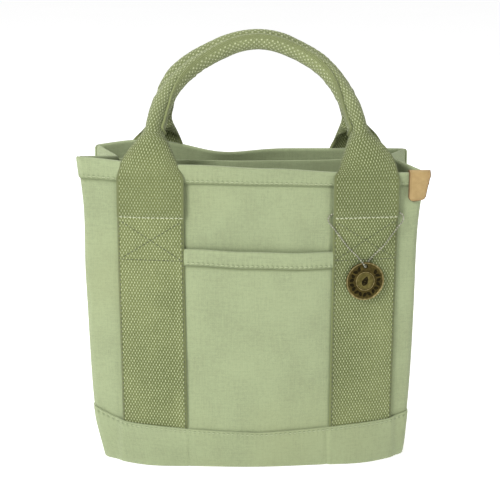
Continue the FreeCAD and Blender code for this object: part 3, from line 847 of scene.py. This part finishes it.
def band_pale_and_shade(width, height):
    """A band is paler at its top edge and where it stands, with painted shade along its seam."""
    def pale_and_shade(a, b):
        down = (1 - b) * height
        edge = 0.35 * mound(down, 0.0, 0.8 * MM)
        foot = 0.5 * mound(b * height, 0.0, 3 * MM) * (0.5 + abs(noise.noise(Vector((a * 25, 0, 8)))))
        # Painted shade between the stitches of the seam.
        return edge + foot + puckered(a * width, down - BAND_SEAM)

    return pale_and_shade


def band_surface(side):
    flat = wall_surface(side, 0.5 * MM)

    def surface(a, up, out):
        spot = flat(a, up, 0.0)
        return spot + Vector((0, side * (band_out(side, spot.x, up) + out), 0))

    return surface


for side, label in ((FRONT, "front"), (REAR, "rear")):
    surface = band_surface(side)

    def place(a, b, surface=surface):
        top = band_top(surface(a, 0.02, 0.0).x)
        return surface(a, BAND_FOOT + (top - BAND_FOOT) * b, 0.0)

    cut = (248 * MM, 33 * MM)
    band = cut_cloth(
        f"{label}_band", *cut, place, canvas, CLOTH, step=0.9 * MM, start=(0.2, 0.5), pale_and_shade=band_pale_and_shade(*cut),
    )
    settle(band, "bag", "canvas", f"{label}_base_band")


def side_band_top(hand, turn):
    """A side band's top edge runs straight from the front band's end to the rear band's."""
    front_end, rear_end = (band_top(edge_x(side, hand, 0.03)) for side in (FRONT, REAR))
    return front_end + (rear_end - front_end) * (turn + 1) / 2


for hand, label in ((-1, "left"), (1, "right")):
    def place(a, b, hand=hand):
        turn = hand * (2 * a - 1)
        top = side_band_top(hand, turn)
        return side_wall(hand, turn * 0.985, BAND_FOOT + (top - BAND_FOOT) * b, GAP + CLOTH)

    cut = (0.064, 0.036)
    band = cut_cloth(
        f"{label}_band", *cut, place, canvas, CLOTH, step=1.2 * MM, start=(0.7, 0.5), pale_and_shade=band_pale_and_shade(*cut),
    )
    settle(band, "bag", "canvas", f"{label}_base_band")
    print(band.name, len(band.data.polygons), "faces")


# %% [markdown]
# Above the rim each pair of straps is one length of webbing. It stands off the wall at its foot, then
# both its edges curl to the back, one over the other, until it is a firm roll to hold. The roll is
# made as it is on the bag: the strip's width is wound into a spiral that closes as it climbs.

# %% The line of a handle
FOOT_END = 233 * MM
FOOT_GAP = 2.6 * MM
LEG_END = 268.5 * MM
LEG_TILT = math.radians(14)
SHOULDER_TILT = math.radians(56)
SHOULDER_ARC = 66 * MM
HANDLE_LEAN = math.radians(20)
ROLL_RADIUS = 5.3 * MM
ROLL_TURN = 4.75
ROLL_START = 222 * MM
ROLL_CLIMB = 30.5 * MM
SEAM_TWIST = 0.9
LAYER_PITCH = 2.3 * MM
FLATTEST = 0.30
FACETS = 0.055
REAR_SLID = 4.5 * MM
LINE_STEP = 1.2 * MM
LEG_STEPS = 24
ARC_STEPS = 20


def handle_line():
    """Half of the line from the right foot to the crown, as pairs of x and height."""
    foot_steps = int((FOOT_END - STRAP_END) / LINE_STEP)
    line = [(STRAP_CENTRE, STRAP_END + LINE_STEP * i) for i in range(foot_steps)]
    for i in range(LEG_STEPS):
        up = FOOT_END + (LEG_END - FOOT_END) * i / LEG_STEPS
        line.append((STRAP_CENTRE - (up - FOOT_END) * math.tan(LEG_TILT), up))
    leg_x = STRAP_CENTRE - (LEG_END - FOOT_END) * math.tan(LEG_TILT)
    for i in range(ARC_STEPS):
        tilt = LEG_TILT + (SHOULDER_TILT - LEG_TILT) * i / ARC_STEPS
        line.append((
            leg_x - SHOULDER_ARC * (math.cos(LEG_TILT) - math.cos(tilt)),
            LEG_END + SHOULDER_ARC * (math.sin(tilt) - math.sin(LEG_TILT)),
        ))
    crown_x = leg_x - SHOULDER_ARC * (math.cos(LEG_TILT) - math.cos(SHOULDER_TILT))
    crown_up = LEG_END + SHOULDER_ARC * (math.sin(SHOULDER_TILT) - math.sin(LEG_TILT))
    crown_arc = crown_x / math.cos(SHOULDER_TILT)
    for i in range(ARC_STEPS + 1):
        tilt = SHOULDER_TILT + (math.pi / 2 - SHOULDER_TILT) * i / ARC_STEPS
        line.append((
            crown_arc * math.cos(tilt),
            crown_up + crown_arc * (math.sin(tilt) - math.sin(SHOULDER_TILT)),
        ))
    return line


def handle_spot(side, x, up):
    """A point of the line put in its place: off the wall, leaning inwards, and softly out of true."""
    standing = min(1.0, max(0.0, (up - STRAP_END) / (4.0 * MM)))
    out = GAP + WEBBING / 2 + (FOOT_GAP - GAP) * standing
    foot = min(up, FOOT_END)
    hand = 1 if x > 0 else -1
    if side == REAR:
        slid = REAR_SLID * (0.3 if hand > 0 else 1.3)
        x += slid * ease(up, 212 * MM, 236 * MM) * (1 - ease(up, 262 * MM, 300 * MM))
    if x < 0:
        x -= 3.2 * MM * mound(up, 266 * MM, 22 * MM)
    else:
        x -= 2.0 * MM * mound(up, 288 * MM, 14 * MM)
    up -= 2.6 * MM * mound(abs(x), 40 * MM, 22 * MM) * ease(up, 280 * MM, 300 * MM)
    y = wall(side, hand * STRAP_CENTRE, foot, out).y
    y -= side * max(0.0, up - FOOT_END) * math.tan(HANDLE_LEAN)
    return Vector((x, y, up))


def handle_frames(side):
    """Every station of a whole handle: its place, the way along it, and the way its face looks."""
    half = handle_line()
    line = half + [(-x, up) for x, up in reversed(half[:-1])]
    spots = [handle_spot(side, x, up) for x, up in line]
    frames = []
    length = 0.0
    for i, spot in enumerate(spots):
        if i:
            length += (spot - spots[i - 1]).length
        window = 6 if spot.z > 215 * MM else 1
        ahead = (spots[min(i + window, len(spots) - 1)] - spots[max(i - window, 0)]).normalized()
        leaned = Vector((0, side * math.cos(HANDLE_LEAN), math.sin(HANDLE_LEAN)))
        flat = (wall(side, spot.x, STITCH_LINE, 5 * MM) - wall(side, spot.x, STITCH_LINE)).normalized()
        turn = ease(spot.z, 222 * MM, 250 * MM)
        face = (flat * (1 - turn) + leaned * turn).normalized()
        face = (face - ahead * face.dot(ahead)).normalized()
        frames.append((spot, ahead, face, length))
    return frames


def at_distance(frames, distance):
    """The place, the way along and the face of a handle's line, so many metres along it."""
    last = len(frames) - 2
    i = min(last, next(k for k in range(last + 1) if frames[k + 1][3] >= distance - 1e-9))
    before, after = frames[i], frames[i + 1]
    share = (distance - before[3]) / max(1e-9, after[3] - before[3])
    ahead = before[1].lerp(after[1], share).normalized()
    face = before[2].lerp(after[2], share).normalized()
    return before[0].lerp(after[0], share), ahead, face


def curl_at(up):
    """How far each half of the width is wound round at a height, in radians."""
    climb = max(0.0, (up - ROLL_START) / ROLL_CLIMB)
    wound = ROLL_TURN + ease(up, 268 * MM, 318 * MM) - 0.45 * mound(up, 270 * MM, 16 * MM)
    return min(wound, 1.8 * climb**0.5 + climb**5)


def along_wall(side, spot, sideways):
    """While it is flat, the webbing follows the curve of the wall behind it."""
    flat_end = FOOT_END + 12 * MM
    if spot.z >= flat_end:
        return Vector((0, 0, 0))
    up = min(spot.z, FOOT_END)
    follow = wall(side, spot.x + sideways, up).y - wall(side, spot.x, up).y
    return Vector((0, follow, 0)) * (1 - ease(spot.z, 226 * MM, flat_end))


def handle_place(side, frames):
    total = frames[-1][3]

    def place(a, b):
        distance = b * total
        spot, ahead, face = at_distance(frames, distance)
        beside = ahead.cross(face)
        across = (a - 0.5) * WEBBING_WIDTH
        curl = curl_at(spot.z)
        flat = along_wall(side, spot, across * beside.x)
        if curl < 1e-3:
            return spot + beside * across + face * WEBBING / 2 + flat
        radius = STRAP_HALF / curl
        closed = ease(curl, 2.2, 3.6)
        angle = across / radius
        squashed = FLATTEST + (1 - FLATTEST) * ease(curl, 1.2, 3.4)
        uneven = 0.55 * MM * noise.noise(Vector((distance * 28, angle * 40, 3.0)))
        grown = radius + WEBBING / 2 + (LAYER_PITCH * angle / (2 * math.pi) + uneven) * closed
        angle += SEAM_TWIST * closed
        grown *= 1 + FACETS * closed * math.cos(3 * (angle - 0.25))
        behind = radius - ROLL_RADIUS * ease(curl, 0.2, 3.0)
        outwards = radius * (1 - squashed) + squashed * grown * math.cos(angle)
        return spot + beside * (grown * math.sin(angle)) + face * (outwards - behind) + flat

    return place, total


for side, label in ((FRONT, "front"), (REAR, "rear")):
    frames = handle_frames(side)
    place, length = handle_place(side, frames)
    handle = cut_cloth(
        f"{label}_handle_webbing", WEBBING_WIDTH, length, place, webbing, WEBBING,
        step=1.9 * MM, start=(0.0, STRAP_END),
    )
    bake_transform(handle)
    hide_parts(f"{label}_handle")
    print(handle.name, "runs", round(length / MM), "mm and has", len(handle.data.polygons), "faces")


# %% [markdown]
# Every seam is a row of real stitches: short bars of thread, a little sunk at both ends. One stitch is
# modelled with very few faces, then a copy of it is laid every few millimetres along the seam.

# %% Stitches
STRAP_STITCH_STEP = 3.4 * MM
END_STITCH_STEP = 3.5 * MM
ON_TOP = 0.05 * MM
bpy.ops.object.select_all(action="DESELECT")
bpy.ops.mesh.primitive_uv_sphere_add(segments=6, ring_count=5, radius=1)
stitch_model = bpy.context.object
bpy.ops.object.mode_set(mode="EDIT")
bpy.ops.mesh.select_all(action="SELECT")
bpy.ops.transform.rotate(value=math.pi / 2, orient_axis="Y", center_override=(0, 0, 0))
bpy.ops.transform.resize(value=(1.35 * MM, 0.42 * MM, 0.36 * MM), center_override=(0, 0, 0))
bpy.ops.object.mode_set(mode="OBJECT")
bpy.ops.object.shade_smooth()
stitch_model.data.materials.append(thread)


def walk(line, step, start):
    """Places at equal steps along a line of points, each with the way along."""
    places, walked, wanted = [], 0.0, start
    for before, after in zip(line, line[1:]):
        run = (after - before).length
        while run > 0 and walked + run >= wanted:
            places.append((before.lerp(after, (wanted - walked) / run), (after - before).normalized()))
            wanted += step
        walked += run
    return places


def lay_along(name, model, places, face):
    """One piece made of copies of a model, each turned along its path with its top to the face."""
    copies = []
    for spot, ahead in places:
        up = (face - ahead * face.dot(ahead)).normalized()
        turn = Matrix((ahead, up.cross(ahead), up)).transposed().to_4x4()
        copy = bpy.data.objects.new(name, model.data.copy())
        copy.data.transform(Matrix.Translation(spot) @ turn)
        bpy.context.scene.collection.objects.link(copy)
        copies.append(copy)
    bpy.ops.object.select_all(action="DESELECT")
    for copy in copies:
        copy.select_set(True)
    bpy.context.view_layer.objects.active = copies[0]
    bpy.ops.object.join()
    row = bpy.context.object
    row.name = row.data.name = name
    return row


def seam(name, path, face, step=STITCH_STEP, material=thread):
    """A row of stitches along path(t), t from 0 to 1, on cloth that looks the way of face."""
    samples = 300
    places = walk([path(i / samples) for i in range(samples + 1)], step, step / 2)
    row = lay_along(name, stitch_model, places, face)
    row.data.materials[0] = material
    settle(row, "bag", "canvas")
    return len(places)


def across_wall(side, up, out):
    """A path along a wall at one height, from one corner to the other."""
    left, right = edge_x(side, -1, up) + 2 * MM, edge_x(side, 1, up) - 2 * MM

    def path(t):
        return wall(side, left + (right - left) * t, up, out)

    return path


count = 0
strip_seam_up = RIM_HEIGHT - STRIP_DROP + STRIP_SEAM
for side, label in ((FRONT, "front"), (REAR, "rear")):
    face = Vector((0, side, 0))
    count += seam(f"{label}_rim_stitches", across_wall(side, strip_seam_up, GAP + STRIP + ON_TOP), face)

    def along_band(t, side=side):
        left, right = (edge_x(side, hand, 0.03) for hand in (-1, 1))
        x = left + (right - left) * (0.01 + 0.98 * t)
        up = band_top(x) - BAND_SEAM
        return wall(side, x, up, band_out(side, x, up) + ON_TOP)

    count += seam(f"{label}_band_stitches", along_band, face)
    for hand, hand_name in ((-1, "left"), (1, "right")):
        for edge in (-1, 1):
            def along_edge(t, side=side, hand=hand, edge=edge):
                up = 30 * MM + (STITCH_LINE - 2.5 * MM - 30 * MM) * t
                return strap_spot(side, hand, edge * (STRAP_HALF - 1.5 * MM), up, 0.02 * MM)

            name = f"{label}_{hand_name}_strap_edge_{'inner' if edge * hand < 0 else 'outer'}"
            count += seam(name, along_edge, face, STRAP_STITCH_STEP, olive_thread)

        def along_end(t, side=side, hand=hand):
            across = (2 * t - 1) * (STRAP_HALF - 1.2 * MM)
            return strap_spot(side, hand, across, STITCH_LINE - 0.7 * MM, 0.12 * MM)

        count += seam(f"{label}_{hand_name}_strap_end", along_end, face, END_STITCH_STEP, pale_thread)
        for slant in (-1, 1):
            def along_cross(t, side=side, hand=hand, slant=slant):
                across = slant * (2 * t - 1) * (STRAP_HALF - 3 * MM)
                return strap_spot(side, hand, across, STITCH_LINE - 4 * MM - 28 * MM * t)

            name = f"{label}_{hand_name}_strap_cross_{'down' if slant > 0 else 'up'}"
            count += seam(name, along_cross, face, STRAP_STITCH_STEP, olive_thread)

        def along_foot(t, side=side, hand=hand):
            return strap_spot(side, hand, (2 * t - 1) * (STRAP_HALF - 2.5 * MM), STITCH_LINE - 33 * MM)

        count += seam(f"{label}_{hand_name}_strap_foot", along_foot, face, STRAP_STITCH_STEP, olive_thread)


def along_hem(t):
    x = (2 * t - 1) * (POCKET_HALF - 3 * MM)
    return pocket_spot(x, pocket_top_at(x) - HEM + HEM_SEAM, STRIP + 0.15 * MM)


count += seam("pocket_hem_stitches", along_hem, Vector((0, FRONT, 0)))
for hand, label in ((-1, "left"), (1, "right")):
    face = Vector((hand, 0, 0))

    def along_side_strip(t, hand=hand):
        return side_wall(hand, (2 * t - 1) * 0.93, strip_seam_up, GAP + STRIP + ON_TOP)

    count += seam(f"{label}_side_rim_stitches", along_side_strip, face)

    def along_side_band(t, hand=hand):
        turn = 2 * t - 1
        return side_wall(hand, turn * 0.93, side_band_top(hand, turn) - BAND_SEAM, GAP + CLOTH + ON_TOP)

    count += seam(f"{label}_side_band_stitches", along_side_band, face)
print(count, "stitches")


# %% [markdown]
# A small tab of tan leather is folded over the rim near the front's right corner. Its outer end has
# rounded corners. It is laid in the same way as the rim strips, over the strip that is already there.

# %% Leather tab
LEATHER = 1.8 * MM
TAB_INSIDE = 12 * MM
TAB_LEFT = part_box("leather_tab")[0][0]
TAB_CORNER = 4 * MM


def tab_surface(x, up, out):
    return wall(FRONT, x, up, out + GAP + STRIP)


tab_over, tab_length = over_the_rim(
    tab_surface, TAB_DROP, TAB_INSIDE, CLOTH + 2 * (GAP + STRIP), LEATHER, gap=0.1 * MM,
)


def tab_place(a, b):
    from_end = b * tab_length
    narrow = 0.0
    if from_end < TAB_CORNER:
        narrow = TAB_CORNER - math.sqrt(TAB_CORNER**2 - (TAB_CORNER - from_end) ** 2)
    x = TAB_LEFT + TAB_WIDTH / 2 + (2 * a - 1) * (TAB_WIDTH / 2 - narrow)
    hanging = max(0.0, 1 - from_end / TAB_DROP)
    spot = tab_over(x, b)
    return spot + Vector((-3.2 * a, 2.0 * a * a, 0)) * MM * hanging


tab = cut_cloth(
    "leather_tab_piece", TAB_WIDTH, tab_length, tab_place, leather, LEATHER, step=0.8 * MM, rounded=0.25,
)
settle(tab, "bag", "leather", "leather_tab")
print(tab.name, len(tab.data.polygons), "faces")


# %% [markdown]
# The tag hangs on a fine ball chain. The chain goes behind the foot of the right strap, where a small
# sleeve closes it, comes round both edges of the strap, and meets in the tag's eye. It is limp, so
# its two legs hang in long soft curves. Its line is one NURBS curve through the same points as the
# tube in the frame, and the balls are set along that.

# %% The line of the chain
CHAIN = 1.5 * MM
CHAIN_HEIGHT = 194.9 * MM
EYE_HEIGHT = 155.5 * MM
DISC_OFFSET = 4.5 * MM
DISC = 1.6 * MM


def off_wall(x, out, up):
    """A place off the front wall, before the cloth's own unevenness."""
    share = up / RIM_HEIGHT
    bend = (1 - share) / BASE_ARC + share / RIM_ARC
    depth = (1 - share) * BASE_HALF_DEPTH + share * RIM_HALF_DEPTH
    return Vector((x, -(depth + out - (1 / bend - math.sqrt(1 / bend**2 - x * x))), up))


behind = DISC_OFFSET - 1.15 * MM
before = DISC_OFFSET + DISC + 1.1 * MM
round_edge = [  # millimetres from the strap's middle, off the wall, and above the chain's height
    (4.0, 1.2, 1.3), (17.5, 1.25, 1.3), (25.8, 1.7, 0.7), (29.0, 2.4, -1.8),
    (28.9, 4.0, -5.2), (24.6, 4.5, -10.0), (19.0, 4.5, -17.6), (13.0, 4.4, -25.6),
]
right_leg, left_leg = (
    [(STRAP_CENTRE + hand * away * MM, out * MM, CHAIN_HEIGHT + rise * MM) for away, out, rise in round_edge]
    for hand in (1, -1)
)
eye_turn = [
    (STRAP_CENTRE + 5.6 * MM, behind, EYE_HEIGHT + 7.2 * MM),
    (STRAP_CENTRE + 2.0 * MM, behind, EYE_HEIGHT + 2.6 * MM),
    (STRAP_CENTRE + 0.2 * MM, behind, EYE_HEIGHT - 0.5 * MM),
    (STRAP_CENTRE - 0.2 * MM, before, EYE_HEIGHT - 0.5 * MM),
    (STRAP_CENTRE - 2.2 * MM, before, EYE_HEIGHT + 2.9 * MM),
    (STRAP_CENTRE - 6.0 * MM, before + 0.1 * MM, EYE_HEIGHT + 7.8 * MM),
]
chain_points = [off_wall(*point) for point in right_leg + eye_turn + left_leg[::-1]]


def smooth_line(points):
    """A NURBS curve with these control points, read back as a fine run of places."""
    curve = bpy.data.curves.new("route", "CURVE")
    curve.dimensions = "3D"
    spline = curve.splines.new("NURBS")
    spline.points.add(len(points) - 1)
    for control, point in zip(spline.points, points):
        control.co = (*point, 1)
    spline.order_u = 3
    spline.use_endpoint_u = True
    spline.resolution_u = 12
    holder = bpy.data.objects.new("route", curve)
    bpy.context.scene.collection.objects.link(holder)
    bpy.context.view_layer.update()
    mesh = bpy.data.meshes.new_from_object(holder)
    line = [v.co.copy() for v in mesh.vertices]
    bpy.data.objects.remove(holder)
    return line


chain_line = smooth_line(chain_points)
chain_length = sum((b - a).length for a, b in zip(chain_line, chain_line[1:]))
print("chain line", round(chain_length / MM, 1), "mm")


# %% [markdown]
# A ball of the chain is a hollow bead of thin steel, and a short pin shows between each bead and the
# next. A bead and its pin are modelled once, with few faces, and copied along the line.

# %% Chain and sleeve
BEAD_STEP = 1.95 * MM
bpy.ops.object.select_all(action="DESELECT")
bpy.ops.mesh.primitive_uv_sphere_add(segments=10, ring_count=7, radius=CHAIN / 2)
bead = bpy.context.object
bpy.ops.object.mode_set(mode="EDIT")
bpy.ops.mesh.select_all(action="DESELECT")
bpy.ops.mesh.primitive_cylinder_add(
    vertices=6, radius=0.24 * MM, depth=BEAD_STEP * 1.02, end_fill_type="TRIFAN",
    location=(0, 0, 0), rotation=(0, math.pi / 2, 0),
)
bpy.ops.object.mode_set(mode="OBJECT")
bpy.ops.object.shade_smooth()
bead.data.materials.append(steel)


bead_count = int((chain_length - BEAD_STEP) / BEAD_STEP) + 1
bead_places = walk(chain_line, (chain_length - CHAIN) / (bead_count - 0.999), CHAIN / 2)
chain = lay_along("ball_chain", bead, bead_places, Vector((0.02, -1, 0.1)))
settle(chain, "chain_loop", "chain_steel", "tag_chain")
print(chain.name, len(bead_places), "balls")

SLEEVE_LENGTH = 8 * MM
sleeve_middle = (chain_points[0] + chain_points[-1]) / 2
sleeve_ahead = (chain_points[0] - chain_points[-1]).normalized()
bpy.ops.object.select_all(action="DESELECT")
bpy.ops.mesh.primitive_cylinder_add(vertices=20, radius=1.05 * MM, depth=SLEEVE_LENGTH)
sleeve = bpy.context.object
bpy.ops.object.mode_set(mode="EDIT")
bpy.ops.mesh.select_mode(type="FACE")
bpy.ops.object.mode_set(mode="OBJECT")
for polygon in sleeve.data.polygons:
    polygon.select = abs(polygon.normal.z) > 0.9
bpy.ops.object.mode_set(mode="EDIT")
bpy.ops.mesh.inset(thickness=0.35 * MM)
bpy.ops.mesh.extrude_region_shrink_fatten(TRANSFORM_OT_shrink_fatten={"value": -0.5 * MM})
bpy.ops.object.mode_set(mode="OBJECT")
trim = sleeve.modifiers.new("edge", "BEVEL")
trim.width = 0.15 * MM
trim.segments = 2
apply_all(sleeve)
sleeve.name = sleeve.data.name = "chain_sleeve"
sleeve_turn = sleeve_ahead.to_track_quat("Z", "Y").to_matrix().to_4x4()
sleeve.data.transform(Matrix.Translation(sleeve_middle) @ sleeve_turn)
alone(sleeve)
bpy.ops.object.shade_smooth_by_angle(angle=math.radians(40))
sleeve.data.materials.append(steel)
settle(sleeve, "chain_loop", "chain_steel", "chain_clasp")
[tuple(p) for p in chain_line]


# %% [markdown]
# The tag is a stamped disc of brass. Its rim and one inner ring stand proud, a plain leaf sits in the
# middle, and a wreath of leaves goes round the field between. The face is inset and raised ring by
# ring, the eye is cut last, and what stands proud is given the rubbed brass.

# %% Brass tag
DISC_RADIUS = 14.8 * MM
EYE_RADIUS = 1.8 * MM
EYE_INSET = 3.2 * MM
bpy.ops.object.select_all(action="DESELECT")
bpy.ops.mesh.primitive_cylinder_add(vertices=112, radius=DISC_RADIUS, depth=DISC, location=(0, 0, DISC / 2))
disc = bpy.context.object
disc.name = disc.data.name = "brass_tag"
bpy.ops.object.transform_apply(location=True)
for polygon in disc.data.polygons:
    polygon.select = polygon.normal.z > 0.9
bpy.ops.object.mode_set(mode="EDIT")
bpy.ops.mesh.select_mode(type="FACE")
rings = (  # how wide each ring is, from the rim inwards, and how far it is raised, in millimetres
    (0.9, 0.0), (0.35, -0.45), (6.0, 0.0), (0.25, 0.28), (0.5, 0.0), (0.25, -0.28), (3.4, 0.06),
)
for width, rise in rings:
    bpy.ops.mesh.inset(thickness=width * MM)
    bpy.ops.transform.translate(value=(0, 0, rise * MM))
bpy.ops.object.mode_set(mode="OBJECT")
disc_edge = disc.modifiers.new("edge", "BEVEL")
disc_edge.width = 0.18 * MM
disc_edge.segments = 2
disc_edge.angle_limit = math.radians(60)
disc_edge.limit_method = "ANGLE"
apply_all(disc)

FIELD = DISC - 0.45 * MM
for brass in (brown_brass, rubbed_brass, worn_brass, dark_brass):
    disc.data.materials.append(brass)
BROWN, RUBBED, WORN, DARK = range(4)


def brass_of(spot, upwards):
    """Which brass a face of the disc is, by where it is and how far it looks upwards."""
    reach = math.hypot(spot.x, spot.y) / MM
    proud = spot.z > FIELD + 0.2 * MM
    if proud and reach > 13.0:
        return RUBBED
    if reach < 6.4 and upwards > 0.9:
        return WORN
    if spot.z < DISC - 0.1 * MM and 6.5 < reach < 6.85:
        return DARK
    return RUBBED if proud and 6.85 < reach < 7.7 else BROWN


for polygon in disc.data.polygons:
    polygon.material_index = brass_of(polygon.center, polygon.normal.z)


# %% [markdown]
# The marks are stamped and have gone dark: a plain wreath of small leaves goes round the field, with
# a gap below the eye, and one larger leaf with a vein is in the middle.

# %% Leaves on the tag
def stamped_leaf(length, width, columns, rows):
    """A small raised leaf that lies flat on the field, its tip towards +Y."""
    bpy.ops.object.select_all(action="DESELECT")
    bpy.ops.mesh.primitive_grid_add(x_subdivisions=columns, y_subdivisions=rows, size=1)
    made = bpy.context.object
    for vertex in made.data.vertices:
        across, along = vertex.co.x * 2, vertex.co.y + 0.5
        half = max(width / 2 * math.sin(math.pi * min(0.999, along) ** 0.8) ** 0.8, 0.06 * MM)
        rise = 0.17 - 0.12 * math.exp(-((across / 0.2) ** 2)) + 0.03 * math.sin(24 * along - 7 * abs(across))
        vertex.co = Vector((across * half, (along - 0.5) * length, FIELD + rise * MM))
    shell = made.modifiers.new("thickness", "SOLIDIFY")
    shell.thickness = 0.35 * MM
    shell.offset = -1
    apply_all(made)
    made.data.materials.append(dark_brass)
    return made


WREATH = 19
WREATH_RADIUS = 10.6 * MM
marks = [stamped_leaf(7.8 * MM, 4.6 * MM, 10, 20)]
marks[0].data.transform(Matrix.Rotation(math.radians(-24), 4, "Z"))
for i in range(2, WREATH - 1):
    small = stamped_leaf(4.0 * MM, 2.5 * MM, 4, 8)
    angle = 2 * math.pi * (i - 0.5) / WREATH
    lean = 0.6 if i % 2 else -0.6
    small.data.transform(
        Matrix.Rotation(angle, 4, "Z")
        @ Matrix.Translation((0, WREATH_RADIUS, 0))
        @ Matrix.Rotation(lean, 4, "Z")
    )
    marks.append(small)


# %% [markdown]
# The eye is cut through the tag with a punch, and then everything is joined and stood on its place
# against the strap.

# %% Eye and place of the tag
bpy.ops.object.select_all(action="DESELECT")
bpy.ops.mesh.primitive_cylinder_add(
    vertices=28, radius=EYE_RADIUS, depth=DISC * 4, location=(0, DISC_RADIUS - EYE_INSET, 0)
)
punch = bpy.context.object
hole = disc.modifiers.new("eye", "BOOLEAN")
hole.operation = "DIFFERENCE"
hole.solver = "EXACT"
hole.object = punch
apply_all(disc)
bpy.data.objects.remove(punch)
bpy.ops.object.select_all(action="DESELECT")
for item in (*marks, disc):
    item.select_set(True)
bpy.context.view_layer.objects.active = disc
bpy.ops.object.join()
alone(disc)
bpy.ops.object.shade_smooth_by_angle(angle=math.radians(35))
eye_share = EYE_HEIGHT / RIM_HEIGHT
disc_turn = math.asin(STRAP_CENTRE * ((1 - eye_share) / BASE_ARC + eye_share / RIM_ARC))
eye_spot = off_wall(STRAP_CENTRE, DISC_OFFSET, EYE_HEIGHT)
disc_spot = Vector((eye_spot.x, eye_spot.y, EYE_HEIGHT - (DISC_RADIUS - EYE_INSET)))
disc.data.transform(
    Matrix.Translation(disc_spot) @ Matrix.Rotation(disc_turn, 4, "Z") @ Matrix.Rotation(math.pi / 2, 4, "X")
)
settle(disc, "tag", "antique_brass", "tag_disc")
for model in (stitch_model, bead):
    bpy.data.objects.remove(model)
print(disc.name, len(disc.data.polygons), "faces")


# %% [markdown]
# Last comes the room: a pale floor, a soft key light from the front left, a wide fill from the right, a
# light from above for the rims and the handles, and a bright sky.

# %% Floor and light
def soft_light(name, spot, size, power):
    bpy.ops.object.light_add(type="AREA", location=spot)
    lamp = bpy.context.object
    lamp.name = name
    lamp.data.shape = "DISK"
    lamp.data.size = size
    lamp.data.energy = power
    lamp.rotation_euler = (Vector(spot) - AIM).to_track_quat("Z", "Y").to_euler()


bpy.ops.object.select_all(action="DESELECT")
bpy.ops.mesh.primitive_plane_add(size=12, location=(0, 0, 0))
floor = bpy.context.object
floor.name = "floor"
paper = Recipe("paper")
mottled = paper.noise(paper.object_place(), 3.0).clipped(0.3, 0.7)
tone = paper.mix(mottled, (0.93, 0.93, 0.93), (0.94, 0.94, 0.94))
floor.data.materials.append(paper.finish(
    Base_Color=tone, Roughness=0.9, Emission_Color=(1, 1, 1, 1), Emission_Strength=0.5,
))

soft_light("key", (-1.25, -1.25, 1.35), 0.7, 34)
soft_light("fill", (1.4, -1.2, 0.9), 1.6, 4)
soft_light("top", (0.1, 0.5, 1.8), 1.2, 12)
bpy.context.scene.view_settings.view_transform = "Standard"
print(len(bpy.data.lights), "lights")
sky = bpy.data.worlds.new("sky")
bpy.context.scene.world = sky
sky.use_nodes = True
sky.node_tree.nodes["Background"].inputs["Color"].default_value = (1, 1, 1, 1)
sky.node_tree.nodes["Background"].inputs["Strength"].default_value = 0.5
